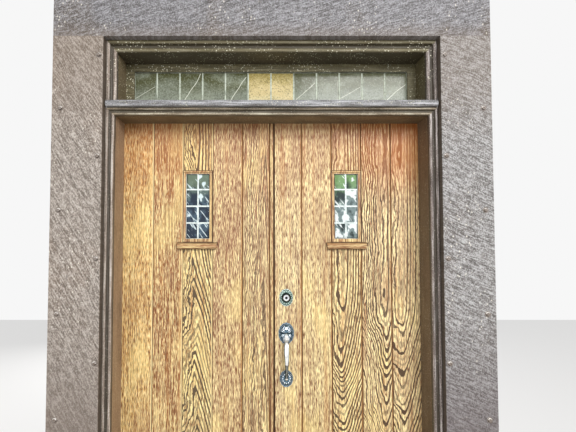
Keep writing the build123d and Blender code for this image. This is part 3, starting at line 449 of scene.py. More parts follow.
def aged_paint(name, paint, worn, grime, bead=(0.004, -0.005), moss_and_shade=0, seed=0,
               upright=True, streaky=1, flaky=0.25):
    """Weathered paint, with painted shade in the hollows and under the ledges. bead gives the depths of a fully
    shaded hollow and of a clean, unshaded bead.
    """
    finish = Finish(name, Roughness=0.6)
    along = (150, 150, 7) if upright else (7, 150, 150)
    grain = finish.noise(along, seed, 4)
    patches = finish.noise((9, 9, 5), seed + 5.2, 4)
    # Painted shade: faces that look down and the deep hollows of the profile are darkened.
    under = (0 - finish.facing_z).smooth(0.3, 0.9)
    deep = finish.y.smooth(bead[1], bead[0])
    grit = finish.noise((240, 240, 150), seed + 1.4, 2)
    head = finish.z.smooth(2.10, 2.18)
    hollow_and_soffit_shade = (deep * 1.1 + under * 0.6) * (patches * 0.7 + 0.5)
    gathered = finish.noise(11, seed + 8).smooth(0.44, 0.58)
    specks = finish.cells(85, seed).smooth(0.28, 0.14) * (gathered + head * 0.12)
    dents = finish.cells((60, 60, 85), seed + 4).smooth(0.22, 0.12)
    colour = finish.coats(
        paint,
        (worn, grain.smooth(0.5, 0.68) * (0.75 * streaky)),
        (grime, grain.smooth(0.5, 0.33) * (0.7 * streaky)),
        (grime, patches.smooth(0.5, 0.75) * 0.5),
        (worn, grit.smooth(0.55, 0.65) * 0.35),
        (grime, grit.smooth(0.45, 0.36) * 0.35),
        # Dark olive in the head: partly moss, partly painted shade.
        ("#544e30", head * moss_and_shade * (patches * 0.5 + 0.6)),
        # Painted shade in the hollows and on the faces that look down.
        ("#342c1e", hollow_and_soffit_shade.at_most(0.85)),
        ("#e2e0c8", (specks * (head * 0.7 + flaky)).at_most(0.9)),
        ("#221c12", dents * (head * 0.4 + flaky * 1.2)))
    relief = grain * 0.8 + patches * 0.3 + specks * 0.4 - dents * 0.5
    return finish.done(colour, patches * 0.25 + 0.45, relief, 0.0015, 0.7)


for name, paint, worn, grime, values, pieces in (
        ("casing_paint_left", "#96887c", "#cec6bc", "#54463a", dict(seed=3), ["left_casing"]),
        ("casing_paint_right", "#70645e", "#c4beba", "#38302a", dict(seed=17), ["right_casing"]),
        # The head and the sash are dark olive: partly moss, partly painted shade.
        ("head_paint", "#847662", "#beb8a4", "#3c3424",
         dict(moss_and_shade=0.9, seed=31, upright=False, streaky=1.3), ["head_casings", "head_jamb"]),
        ("sash_paint", "#5a5238", "#a69e7c", "#262014",
         dict(bead=no_hollows, moss_and_shade=0.7, seed=43, upright=False, streaky=1.3),
         ["transom_sash", "transom_glazing_beads"]),
        # The reveals are lit and shaded copies of one paint: the left painted lighter, the right darker, as the
        # light comes from the right.
        ("reveal_paint_left", "#967c62", "#cebaa0", "#5c4630",
         dict(bead=no_hollows, moss_and_shade=0.8, seed=52, streaky=0.35), ["left_jamb"]),
        ("reveal_paint_right", "#604e3a", "#968268", "#382a1c",
         dict(bead=no_hollows, moss_and_shade=0.8, seed=61, streaky=0.35), ["right_jamb"]),
        ("nosing_paint", "#7e7e80", "#c8c8cc", "#3c3630",
         dict(bead=no_hollows, seed=74, upright=False, flaky=0.55), ["transom_nosing"]),
        ("bar_paint", "#786446", "#968668", "#463622",
         dict(bead=no_hollows, seed=83, upright=False), ["transom_bar", "threshold"])):
    dress(aged_paint(name, paint, worn, grime, **values), *pieces)
print("paint finishes ready")

# %% [markdown]
# The wide boards round the doorway were left rough from a round saw. Its marks are fine slanting arcs, drawn
# here as noise that is stretched along the arc. Weather has added grit, chips and brown patches. The board's
# edge beside the casing gets painted shade, and a painted shade turns the boards browner near the top.


# %% Rough-sawn boards
def sawn_board(name, paint, pale, dark, brown, low_tone, slope, seed):
    """Rough-sawn painted wood. slope is the drop of the saw's marks for each metre to the right."""
    finish = Finish(name, Roughness=0.75)
    drift = finish.noise((2, 2, 1.2), seed + 4, 2)
    tilt = (1 + slope * slope) ** 0.5
    across = (finish.z + finish.x * slope + (finish.z * finish.z) * 0.12 + drift * 0.16) / tilt
    along = (finish.x - finish.z * slope) / tilt

    def saw(fast, slow, shift):
        at = finish.vector(across * fast, along * slow, shift)
        sockets = {"Vector": at, "Scale": 1, "Detail": 3}
        return finish.node("ShaderNodeTexNoise", {"noise_dimensions": "2D"}, sockets)

    marks = saw(125, 22, seed)
    coarse = saw(40, 4.5, seed + 6)
    grit = finish.noise((210, 210, 160), seed + 2, 3)
    patches = finish.noise((5, 5, 2.6), seed + 9, 4)
    chips = finish.cells((24, 24, 18), seed + 3).smooth(0.16, 0.08)
    flecks = finish.cells((55, 55, 34), seed + 7).smooth(0.20, 0.10) * patches.smooth(0.42, 0.56)
    # Painted shade on the inner edge face of each board, beside the casing.
    inner = (finish.facing_x * finish.x).smooth(-0.2, -0.5) * finish.y.smooth(-0.048, -0.04)
    colour = finish.coats(
        paint,
        (brown, patches.smooth(0.48, 0.66) * 0.5),
        (pale, coarse.smooth(0.50, 0.64) * 0.22),
        (dark, coarse.smooth(0.48, 0.34) * 0.26),
        (pale, marks.smooth(0.50, 0.62) * 0.42),
        (dark, marks.smooth(0.49, 0.37) * 0.42),
        (pale, grit.smooth(0.52, 0.62) * 0.45),
        (dark, grit.smooth(0.48, 0.38) * 0.5),
        ("#605854", chips * patches.smooth(0.5, 0.6) * 0.7),
        ("#e2dcd0", flecks * 0.75),
        (low_tone, finish.z.smooth(1.25, 0.35) * 0.75),
        # Browner near the top: a painted shade.
        ("#705e4c", finish.z.smooth(1.85, 2.25) * (finish.z.smooth(2.50, 2.42) * 0.25 + 0.05)),
        ("#463a2c", inner * 0.85))
    relief = marks * 0.7 + coarse * 0.9 + grit * 0.6 - chips * 0.5
    return finish.done(colour, grit * 0.3 + 0.55, relief, 0.0035, 0.9)


dress(sawn_board("board_paint_left", "#867c73", "#c4bcb4", "#4c423a", "#806e5e",
                 "#70645c", 2.2, 2), "left_surround_board")
dress(sawn_board("board_paint_right", "#7c7876", "#bebebe", "#36322f", "#6c635d",
                 "#54484a", 0.7, 21), "right_surround_board")
dress(sawn_board("board_paint_head", "#6a696c", "#aaaaae", "#322e2c", "#5c4e3e",
                 "#5c5b5e", -0.5, 37), "header_surround_board")
print("rough-sawn boards ready")

# %% [markdown]
# The glass is old, and each pane sits at its own slight angle in the lead. So every pane throws back another
# piece of the surroundings: dark, leafy or bright, cut off sharply at the lead. That reflection is painted into
# the colour of the panes. The place of a point gives its pane, and a random number for each pane shifts and
# brightens the painted reflection in it. A painted shadow darkens the border of every pane. The panes over the
# doors are dusty instead, and some have straight scratches.


# %% Old glass
pane_columns, pane_rows = 2, 4
transom_pitch = 117.17     # from pane to pane, in mm


def window_glass(name, box, dark, mid, pale, leaf_reflection, bright, streak, seed):
    """Panes in a box, each with its own broken painted reflection."""
    finish = Finish(name, Roughness=0.05, IOR=1.5)
    low, high = box
    column = ((finish.x - low[0]) * (pane_columns / (high[0] - low[0]))).maths("FLOOR")
    row = ((finish.z - low[2]) * (pane_rows / (high[2] - low[2]))).maths("FLOOR")
    pane = finish.chance(column * 7.31 + row * 3.17 + seed)
    shift = pane * 9 + seed
    cloud = finish.noise((24, 24, 19.2), shift, 3)
    slant = finish.noise((52.8, 24, 12), shift + finish.z * 38.4, 2)
    level = cloud + (pane - 0.5) * 0.22
    up = (finish.z - low[2]) / (high[2] - low[2])
    lines = slant.smooth(0.60, 0.64) * (1 - slant.smooth(0.68, 0.72))
    specks = finish.cells(150, seed).smooth(0.14, 0.06) * cloud.smooth(0.5, 0.6)
    # Painted reflection: dark, mid, leafy and pale patches with pale slanting streaks; the last coat is a
    # painted shadow along the border of the panes.
    colour = finish.coats(
        dark,
        (mid, level.smooth(bright - 0.10, bright + 0.04)),
        (leaf_reflection, (up + (cloud - 0.5)).smooth(0.55, 0.95) * 0.8),
        (pale, level.smooth(bright + 0.07, bright + 0.13) * 0.9),
        (pale, lines * streak),
        ("#e8ece4", specks * 0.8),
        ("#1a1814", 1 - finish.inward(low, high).smooth(0.005, 0.010)))
    return finish.done(colour, cloud * 0.12, finish.noise((22, 22, 9), shift, 1), 0.002, 0.4)


def transom_glass(name, foot, top, pale, seed):
    """Dusty glass that darkens and greens towards the head."""
    finish = Finish(name, Roughness=0.1, IOR=1.5, Specular_IOR_Level=0.2)
    low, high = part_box("transom_clear_panes")
    up = (finish.z - low[2]) / (high[2] - low[2])
    soft = finish.noise((5, 5, 9), seed, 3)
    dust = finish.noise(150, seed + 3, 3)
    across = finish.x * 1000 / transom_pitch + seed + 0.08
    number = across.maths("FLOOR")
    pane = finish.chance(number)
    slant = across - number - pane - (up - 0.5) * (pane * 5 - 2.5) + (soft - 0.5) * 0.25
    scratch = (1 - slant.maths("ABSOLUTE").smooth(0.008, 0.022)) * pane.smooth(0.60, 0.62)
    specks = finish.cells(140, seed).smooth(0.14, 0.06) * soft.smooth(0.42, 0.58)
    inward = (finish.z - low[2]).at_most(high[2] - finish.z)
    colour = finish.coats(
        foot,
        (top, (up + (soft - 0.5) * 1.6 + (pane - 0.5) * 0.5).smooth(0.2, 0.8)),
        (pale, (soft + (pane - 0.5) * 0.2).smooth(0.52, 0.70) * 0.5),
        ("#383a26", dust.smooth(0.52, 0.66) * 0.45),
        (pale, dust.smooth(0.45, 0.36) * 0.35),
        ("#e6e8d8", (specks * 0.8 + scratch * 0.8).at_most(0.9)),
        # A painted shadow along the border of the panes.
        ("#262416", (1 - inward.smooth(0.004, 0.010)) * 0.8))
    return finish.done(colour, dust * 0.3, finish.noise((16, 16, 9), seed + 6, 1), 0.002, 0.4)


dress(window_glass("window_glass_left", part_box("left_window_panes"), "#1a2838", "#3e5262", "#cedee2",
                   "#687862", 0.54, 0.8, 4), "left_window_panes")
dress(window_glass("window_glass_right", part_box("right_window_panes"), "#283434", "#708080",
                   "#dee6e6", "#709658", 0.49, 0.9, 9), "right_window_panes")
dress(transom_glass("transom_glass", "#7e8476", "#525436", "#a0a898", 12), "transom_clear_panes")
dress(transom_glass("amber_glass", "#cebc8c", "#a49458", "#dcd2a8", 23), "transom_amber_panes")
print("glass ready")

# %% [markdown]
# Lead came is a soft bar, rounded on both faces, with a flat blob of solder on every crossing. It repeats
# and follows lines, so Geometry Nodes make it: the lines of the lattice become curves, a round bar runs
# along each, a blob sits on each crossing, and the whole is pressed flat to the depth of the lead. The
# result is kept as a plain mesh that stands for the sharp-edged lattice of the solids.


# %% Geometry Nodes helpers
class Tree(Nodes):
    """A Geometry Nodes tree while it is being made. wires holds its inputs."""

    def __init__(self, name, **numbers):
        super().__init__(bpy.data.node_groups.new(name, "GeometryNodeTree"))
        kinds = {"Geometry": "Geometry"}
        kinds.update({key: "Int" if key.endswith("seed") else "Float" for key in numbers})
        kinds["material"] = "Material"
        faces = self.tree.interface
        faces.new_socket("Geometry", in_out="OUTPUT", socket_type="NodeSocketGeometry")
        self.names = {}
        for key, kind in kinds.items():
            socket = faces.new_socket(key, in_out="INPUT", socket_type=f"NodeSocket{kind}")
            if key in numbers:
                socket.default_value = numbers[key]
            self.names[key] = socket.identifier
        inputs = self.tree.nodes.new("NodeGroupInput")
        self.wires = {key: Field(self, inputs.outputs[key]) for key in kinds}

    def step(self, kind, **sockets):
        """A Geometry Nodes node by its short name, with blanks in socket names written as underscores."""
        ready = {key.replace("_", " "): value for key, value in sockets.items()}
        return self.node(f"GeometryNode{kind}", None, ready)

    def finish(self, geometry):
        real = self.step("RealizeInstances", Geometry=geometry)
        dressed = self.step("SetMaterial", Geometry=real, Material=self.wires["material"])
        self.tree.links.new(dressed.output, self.tree.nodes.new("NodeGroupOutput").inputs[0])
        return self


def grow(name, tree, mesh, material, **numbers):
    """Run a tree on a mesh of points or edges, and keep the result as a plain mesh object."""
    seed_object = put(name + "_seed", mesh)
    modifier = seed_object.modifiers.new("grow", "NODES")
    modifier.node_group = tree.tree
    modifier[tree.names["material"]] = material
    for key, value in numbers.items():
        modifier[tree.names[key]] = value
    bpy.context.view_layer.update()
    ready = seed_object.evaluated_get(bpy.context.evaluated_depsgraph_get())
    grown = bpy.data.meshes.new_from_object(ready)
    grown.name = name
    seed_object.modifiers.remove(modifier)
    bpy.data.objects.remove(seed_object)
    print(name, "faces:", len(grown.polygons))
    return put(name, grown)


print("Geometry Nodes helpers ready")


# %% Lead cames
def came_tree():
    """Round bars along edges and solder on crossings, pressed flat along Y."""
    tree = Tree("lead_came", radius=0.0045, solder=0.0062, flatness=0.78, depth=0.17)
    lattice_lines = tree.wires["Geometry"]
    curve = tree.step("MeshToCurve", Mesh=lattice_lines)
    ring = tree.step("CurvePrimitiveCircle", Resolution=12, Radius=tree.wires["radius"])
    bars = tree.step("CurveToMesh", Curve=curve, Profile_Curve=ring, Fill_Caps=True)
    blob = tree.step("MeshUVSphere", Segments=14, Rings=8, Radius=tree.wires["solder"])
    blobs = tree.step("InstanceOnPoints", Points=tree.step("MeshToPoints", Mesh=lattice_lines), Instance=blob)
    join = tree.step("JoinGeometry")
    for part in (bars, blobs):
        tree.tree.links.new(part.output, join.output.node.inputs[0])
    real = tree.step("RealizeInstances", Geometry=join)
    flat = tree.vector(1, tree.wires["flatness"], 1)
    return tree.finish(tree.step("Transform", Geometry=real, Scale=flat,
                                 Translation=tree.vector(0, tree.wires["depth"], 0)))


def lattice_marks(low, high, count, came=0.009, side=0.006, edge=0.0045):
    """Where the lines of a lattice lie along one direction. Border lines lie just inside."""
    size = (high - low - 2 * side - (count - 1) * came) / count
    return [low + edge] + [low + side + k * (size + came) - came / 2 for k in range(1, count)] + [high - edge]


def lattice(low, high, columns, rows):
    """Edges of a lattice in the plane y = 0, with a point at every crossing."""
    xs, zs = lattice_marks(low[0], high[0], columns), lattice_marks(low[2], high[2], rows)
    count = len(xs)
    edges = [(r * count + c, r * count + c + 1) for r in range(len(zs)) for c in range(count - 1)]
    edges += [(r * count + c, (r + 1) * count + c) for r in range(len(zs) - 1) for c in range(count)]
    mesh = bpy.data.meshes.new("lattice")
    mesh.from_pydata([(x, 0, z) for z in zs for x in xs], edges, [])
    return mesh


def lead(name, colour, dark, seed):
    """Old lead with a pale bloom."""
    finish = Finish(name, Metallic=0.1)
    bloom = finish.noise(90, seed, 4)
    streak = finish.noise(30, seed + 2, 2)
    coats = ((dark, bloom.smooth(0.5, 0.72) * 0.6), (dark, streak.smooth(0.5, 0.7) * 0.6))
    return finish.done(finish.coats(colour, *coats), bloom * 0.3 + 0.35, bloom, 0.0005, 0.8)


came_maker = came_tree()
window_lead = lead("window_lead", "#dee8e6", "#96a4a4", 1)
transom_lead = lead("transom_lead", "#bcc4b4", "#545a48", 6)
window_counts, transom_counts = (pane_columns, pane_rows), (12, 1)
for node, body, counts, finish in (("left_window_cames", "left_leaf", window_counts, window_lead),
                                   ("right_window_cames", "right_leaf", window_counts, window_lead),
                                   ("transom_cames", "frame", transom_counts, transom_lead)):
    low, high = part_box(node)
    piece = grow(node + "_rounded", came_maker, lattice(low, high, *counts), finish.material,
                 depth=(low[1] + high[1]) / 2)
    register(piece, body, node)

# %% [markdown]
# The handle set is cast metal with a relief of beads, petals and scrolls on scalloped oval plates. Each
# plate is a dense round net of points, and rules give every point its height from its place on the plate.
# The same rules tell how raised a point is, and that is stored on the mesh, because a hand polishes the
# high spots and leaves the hollows dark. A net is cut where another piece passes through it. Sizes are in
# millimetres here.

# %% Nets of points
mm = 0.001
lock_x = 76
leaf_y = 161
full_turn = 2 * np.pi


def net_mesh(name, points, faces, raised):
    """A mesh with its normals outward, and how raised each point is."""
    mesh = bpy.data.meshes.new(name)
    mesh.from_pydata([tuple(point) for point in points], [], [tuple(face) for face in faces])
    mark = mesh.attributes.new("raised", "FLOAT", "POINT")
    mark.data.foreach_set("value", np.asarray(raised, dtype=np.float32))
    work = bmesh.new()
    work.from_mesh(mesh)
    bmesh.ops.recalc_face_normals(work, faces=work.faces)
    work.to_mesh(mesh)
    work.free()
    return mesh


def mesh_piece(name, points, faces, raised, finish, node, body):
    """A finished smooth piece, and what it stands for."""
    mesh = net_mesh(name, points, faces, raised)
    mesh.polygons.foreach_set("use_smooth", [True] * len(mesh.polygons))
    mesh.materials.append(finish.material)
    register(put(name, mesh), body, node)
    print(name, "faces:", len(mesh.polygons))


def net_faces(rows, columns, closed_rows=False):
    """Quads between closed rows of points, with a cap at each end unless the rows close too."""
    faces = []
    for row in range(rows if closed_rows else rows - 1):
        first, after = row * columns, (row + 1) % rows * columns
        for column in range(columns):
            beside = (column + 1) % columns
            faces.append((first + column, first + beside, after + beside, after + column))
    if not closed_rows:
        faces += [range(columns)[::-1], range((rows - 1) * columns, rows * columns)]
    return faces


def block(low, high):
    """A box between two corners."""
    ends = ((low[0], low[2]), (high[0], low[2]), (high[0], high[2]), (low[0], high[2]))
    faces = [(0, 1, 2, 3), (7, 6, 5, 4), (0, 4, 5, 1), (1, 5, 6, 2), (2, 6, 7, 3), (3, 7, 4, 0)]
    return np.array([(x, y, z) for y in (low[1], high[1]) for x, z in ends]), faces


def cross_rod(middle, radius, length, sides=16):
    """A rod along X."""
    turn = np.linspace(0, full_turn, sides, endpoint=False)
    spots = [(middle[0] + x, middle[1] + radius * math.cos(t), middle[2] + radius * math.sin(t))
             for x in (-length / 2, length / 2) for t in turn]
    return np.array(spots), net_faces(2, sides)


def joined(*nets):
    """Several nets as one."""
    points, faces = np.zeros((0, 3)), []
    for spots, sides in nets:
        faces += [[len(points) + i for i in side] for side in sides]
        points = np.concatenate([points, spots])
    return points, faces


def pierced(points, faces, raised, holes):
    """A closed net and its polish, with the room of each hole cut out of it."""
    meshes = [net_mesh("cutting", points, faces, raised)]
    meshes += [net_mesh("cutting", spots * mm, sides, np.zeros(len(spots))) for spots, sides in holes]
    bodies = [put("cutting", mesh) for mesh in meshes]
    for body in bodies[1:]:
        cut = bodies[0].modifiers.new("cut", "BOOLEAN")
        cut.operation, cut.solver, cut.object = "DIFFERENCE", "EXACT", body
    done = bodies[0].evaluated_get(bpy.context.evaluated_depsgraph_get()).to_mesh()
    points = np.array([spot.co[:] for spot in done.vertices])
    faces = [list(side.vertices) for side in done.polygons]
    raised = np.array([entry.value for entry in done.attributes["raised"].data])
    for body, mesh in zip(bodies, meshes):
        bpy.data.objects.remove(body)
        bpy.data.meshes.remove(mesh)
    return points, faces, raised


print("net helpers ready")


# %% Relief of the plates
def ramp(value, low, high):
    """0 at low, 1 at high and straight between."""
    return np.clip((value - low) / (high - low), 0, 1)


def ridge(distance, width):
    """1 at distance 0, fading out over width."""
    return np.exp(-((distance / width) ** 2))


def domes(across, up, places):
    """Round beads at places x, z, radius, as a height from 0 to 1."""
    total = np.zeros_like(across)
    for x, z, radius in places:
        gap = np.hypot(across - x, up - z) / radius
        total = np.maximum(total, np.sqrt(np.clip(1 - gap ** 2, 0, None)))
    return total


def bead_ring(across, up, count, reach_x, reach_y, radius, turn=0):
    """Beads on an oval."""
    spots = turn + full_turn * np.arange(count) / count
    return domes(across, up, [(reach_x * np.cos(spot), reach_y * np.sin(spot), radius) for spot in spots])


def scrolls(across, up, centre, reach, turns, start):
    """A pair of scrolls that wind inward, raised 1.5 mm wide."""
    share = np.linspace(0, 1, 60)
    angle = start + turns * full_turn * share
    radius = reach * (1 - 0.86 * share)
    x, z = centre[0] + radius * np.cos(angle), centre[1] + radius * np.sin(angle)
    gaps = [np.hypot(across[..., None] - side * x, up[..., None] - z).min(axis=-1) for side in (-1, 1)]
    return ridge(np.minimum(*gaps), 1.5)


def with_land(across, up, tall, polish, shine):
    """Adds the round land on which the grip stands."""
    distance = np.hypot(across, up)
    tall = np.where(distance < 15.5, np.maximum(tall, 9 * ramp(distance, 15.5, 13.9) ** 0.5), tall)
    return np.minimum(tall, 10), np.where(distance < 15.5, shine, polish)


def rose_relief(across, up, oval, angle):
    """A sunburst: petals from the guard to the rim, with a bead in each lobe."""
    distance = np.hypot(across, up)
    ray = np.abs(np.cos(8 * angle))
    petal = ramp(oval, 0.58, 0.70) * ramp(oval, 0.86, 0.80)
    bead = bead_ring(across, up, 16, 31.8, 40, 2.3, np.pi / 16)
    rim = ridge(oval - 0.975, 0.03)
    tall = 2.4 + 2.2 * ramp(oval, 1, 0.5) + petal * (1.8 * ray - 0.5) + 1.9 * bead + 0.9 * rim
    slope = 14 - 3.6 * ramp(distance, 19, 24)
    lip = 0.7 * ridge(distance - 18.4, 1.3)
    step = ridge(distance - 22.2, 0.7)
    guard = ramp(distance, 25, 23.4) * (slope + lip - 1.2 * step - 0.7)
    tall = np.where(distance < 25, np.maximum(tall, guard), tall)
    polish = 0.15 + 0.35 * petal * ray + 0.95 * bead + 0.45 * rim
    return tall, np.where(distance < 24.5, 0, polish)


def upper_relief(across, up, oval, angle):
    """Paired scrolls round a flower, a beaded rim, and the land of the grip below the thumb piece."""
    rim = ridge(oval - 0.965, 0.03)
    flutes = np.abs(np.cos(28 * angle)) * ramp(oval, 0.84, 0.88) * ramp(oval, 0.95, 0.92)
    bead = bead_ring(across, up, 36, 31.6, 43.5, 1.7)
    curls = [((15, 17), 10.5, 1.35, -2.2), ((17, -10), 10, 1.35, 2.4),
             ((11, 33), 6, 1.2, -1.2), ((15.5, -28), 5.5, 1.1, 1.9)]
    curled = np.max([scrolls(across, up, *curl) for curl in curls], axis=0)
    eyes = domes(across, up, [(side * x, z, size) for side in (-1, 1)
                              for x, z, size in ((15, 17, 3), (17, -10, 3), (11, 33, 2), (15.5, -28, 2))])
    petals = bead_ring(across, up - 24, 6, 5.4, 5.4, 3.2, np.pi / 6)
    heart = domes(across, up, [(0, 24, 2.4)])
    veins = ramp(np.abs(across), 9, 6) * ramp(up, 17, 14) * ramp(up, 2, 5)
    veins *= np.abs(np.cos(across * 0.9))
    inside = ramp(oval, 0.72, 0.69)
    tall = 3 + 4.2 * np.clip(1 - (oval / 0.84) ** 2, 0, 1) ** 0.8
    tall += 0.9 * rim + 0.8 * flutes + 1.3 * bead - ridge(oval - 0.74, 0.025) + 2.2 * heart
    tall += inside * (1.7 * curled + 1.5 * eyes + 1.5 * petals + 0.9 * veins)
    polish = 0.05 + inside * (0.7 * curled + eyes) + 0.8 * petals + 0.9 * heart
    polish += 0.6 * bead + 0.45 * rim + 0.3 * veins
    return with_land(across, up + 34, tall, polish, 0.6)


def lower_relief(across, up, oval, angle):
    """A ring of long petals round the grip's foot, beads above and below, and a beaded rim."""
    rim = ridge(oval - 0.965, 0.03)
    bead = bead_ring(across, up, 28, 26.6, 34, 1.7)
    petal = np.abs(np.cos(6 * angle)) * ramp(oval, 0.44, 0.50) * ramp(oval, 0.70, 0.65)
    knobs = domes(across, up, [(x, side * z, 2.8) for x, z in ((0, 24), (9, 21), (-9, 21)) for side in (-1, 1)])
    tall = 3 + 4 * np.clip(1 - (oval / 0.84) ** 2, 0, 1) ** 0.8
    tall += 0.9 * rim + 1.3 * bead - 0.9 * ridge(oval - 0.72, 0.025) + 1.6 * petal + 1.6 * knobs
    return with_land(across, up, tall, 0.06 + 0.6 * petal + knobs + 0.6 * bead + 0.45 * rim, 0.3)


print("reliefs ready")

# %% [markdown]
# One finish serves all the castings. The stored polish moves it from dark blue-grey, nearly matt, to bright
# bare metal, and a fine noise breaks the edge between the two.


# %% Cast plates
pivot = (lock_x, 157, 985)    # of the thumb piece


def cast_metal(name, hollow, mid, bright, seed, metallic=0.85):
    """Old silvered metal: dark in the hollows, bright where hands rub it."""
    finish = Finish(name, Metallic=metallic)
    raised = finish.node("ShaderNodeAttribute", {"attribute_name": "raised"}, out="Fac")
    cloud = finish.noise(160, seed, 3)
    worn = raised + (cloud - 0.5) * 0.3
    metal = finish.ramp(worn, (0, hollow), (0.08, hollow), (0.3, mid), (0.68, bright))
    green = finish.noise(45, seed + 5, 3).smooth(0.52, 0.7)
    colour = finish.coats(metal, ("#5c7068", green * 0.35))
    return finish.done(colour, 0.58 - worn.smooth(0.1, 0.8) * 0.30, cloud, 0.0004, 0.6)


def relief_plate(name, centre_z, width, height, lobes, relief, finish, node, inner=2, holes=()):
    """A cast plate with a scalloped edge. relief gives height and polish from the place on the plate."""
    rows, columns = 64, lobes * 16
    angle = np.linspace(0, full_turn, columns, endpoint=False)
    share = np.linspace(0, 1, rows)[:, None]
    edge = 1 - 0.055 * (1 - np.abs(np.sin(lobes * angle / 2)) ** 0.6)
    across = ((1 - share) * inner + share * edge * width / 2) * np.cos(angle)
    up = ((1 - share) * inner + share * edge * height / 2) * np.sin(angle)
    oval = np.hypot(across / (width / 2), up / (height / 2)) / edge
    tall, polish = relief(across, up, oval, angle[None, :] + 0 * share)
    front = np.stack([lock_x + across, leaf_y - tall, centre_z + up], axis=-1)
    back = front[[-1, 0]].copy()
    back[..., 1] = leaf_y
    points = np.concatenate([front, back]).reshape(-1, 3) * mm
    raised = np.concatenate([np.clip(polish, 0, 1).reshape(-1), np.zeros(2 * columns)])
    faces = net_faces(rows + 2, columns, closed_rows=True)
    if holes:
        points, faces, raised = pierced(points, faces, raised, holes)
    mesh_piece(name, points, faces, raised, finish, node, "right_leaf")


pewter = cast_metal("cast_pewter", "#22323e", "#628296", "#e8eef4", 2)
rose_metal = cast_metal("cast_rose", "#101616", "#68847a", "#deeae4", 9)
relief_plate("deadbolt_sunburst", 1170, 71, 88, 16, rose_relief, rose_metal, "deadbolt_rose", inner=15.6)
thumb_slot = block((lock_x - 6, 140, 977.5), (lock_x + 6, 166, 992.5))
pin_bore = cross_rod(pivot, 2.05, 24.6)
relief_plate("upper_handle_plate", 992, 79, 107, 14, upper_relief, pewter, "handle_upper_plate",
             inner=0.45, holes=(thumb_slot, pin_bore))
relief_plate("lower_handle_plate", 768, 67.5, 84, 12, lower_relief, pewter, "handle_lower_plate")

# %% [markdown]
# The grip is a bowed bar, broad and flat under the hand and slim below, with a collar at each end and a
# bead where the broad part stops. It is a ring of points carried along the bow, and each ring turns to stay
# square to it. The thumb piece is a dished leaf on a short neck, tipped down as when it is pressed.


# %% Grip
def smooth_path(knots, steps):
    """A curve through the knots, with its direction at each step."""
    knots = np.array(knots)
    padded = np.concatenate([[2 * knots[0] - knots[1]], knots, [2 * knots[-1] - knots[-2]]])
    places = []
    for a, b, c, d in zip(padded, padded[1:], padded[2:], padded[3:]):
        for t in np.arange(steps) / steps:
            cubic = (2 * a - 5 * b + 4 * c - d) * t * t + (3 * b - a - 3 * c + d) * t ** 3
            places.append(0.5 * (2 * b + (c - a) * t + cubic))
    places = np.array(places + [knots[-1]])
    ahead = np.gradient(places, axis=0)
    return places, ahead / np.linalg.norm(ahead, axis=1)[:, None]


seat_y, bow_y = leaf_y - 9, leaf_y - 47
grip_knots = [(seat_y + 3, 958), (seat_y - 12, 955.5), (bow_y + 12, 944), (bow_y + 4.5, 923),
              (bow_y, 886), (bow_y + 3, 850), (bow_y + 11, 818), (bow_y + 22, 786),
              (seat_y - 9, 770.5), (seat_y + 3, 768)]
path, heading = smooth_path(grip_knots, 16)
length = np.concatenate([[0], np.cumsum(np.linalg.norm(np.diff(path, axis=0), axis=1))])
share = (length / length[-1])[:, None]
around = np.linspace(0, full_turn, 64, endpoint=False)
half_wide = np.interp(share, [0, 0.05, 0.10, 0.17, 0.33, 0.50, 0.60, 0.68, 0.85, 0.93, 1],
                      [9.5, 9, 9.6, 12.4, 13.3, 11, 8.4, 7.2, 7, 8.6, 9.5])
half_thick = np.interp(share, [0, 0.05, 0.10, 0.17, 0.55, 0.7, 0.88, 0.95, 1],
                       [9.5, 8.4, 6.6, 6, 5.8, 5.4, 5.6, 8.2, 9.5])
collars = sum(tall * ridge(share - at, wide) for tall, at, wide in (
    (1.5, 0.075, 0.012), (1.5, 0.925, 0.012), (1.2, 0.575, 0.010), (0.7, 0.602, 0.006)))
from_front = np.abs((around + np.pi / 2) % full_turn - np.pi) - np.pi
ribs = ramp(share, 0.13, 0.18) * ramp(share, 0.55, 0.50) * (0.9 * ridge(from_front, 0.28))
flutes = ramp(share, 0.62, 0.65) * ramp(share, 0.90, 0.87) * (0.45 * np.cos(8 * around + 40 * share))
swell = collars + ribs + flutes
out_way = (half_thick + swell) * np.sin(around)
grip_points = np.stack([lock_x + (half_wide + swell) * np.cos(around),
                        path[:, :1] + out_way * heading[:, 1:],
                        path[:, 1:] - out_way * heading[:, :1]], axis=-1)
# Painted highlight along the front of the grip and painted shade on its sides; the upper part is also worn
# bright.
front_highlight = ramp(np.abs(np.cos(around)), 0.80, 0.55)
upper_part = ramp(share, 0.60, 0.55) * ramp(share, 0.03, 0.09)
polish = 0.10 + (0.95 * upper_part + 0.30) * front_highlight + 0.3 * (collars > 0.7) + 0.12 * flutes
grip_metal = cast_metal("cast_grip", "#101412", "#3a4034", "#f0f2f0", 14)
mesh_piece("bowed_grip", grip_points.reshape(-1, 3) * mm, net_faces(len(path), 64),
           np.clip(polish, 0, 1).reshape(-1), grip_metal, "handle_grip", "right_leaf")

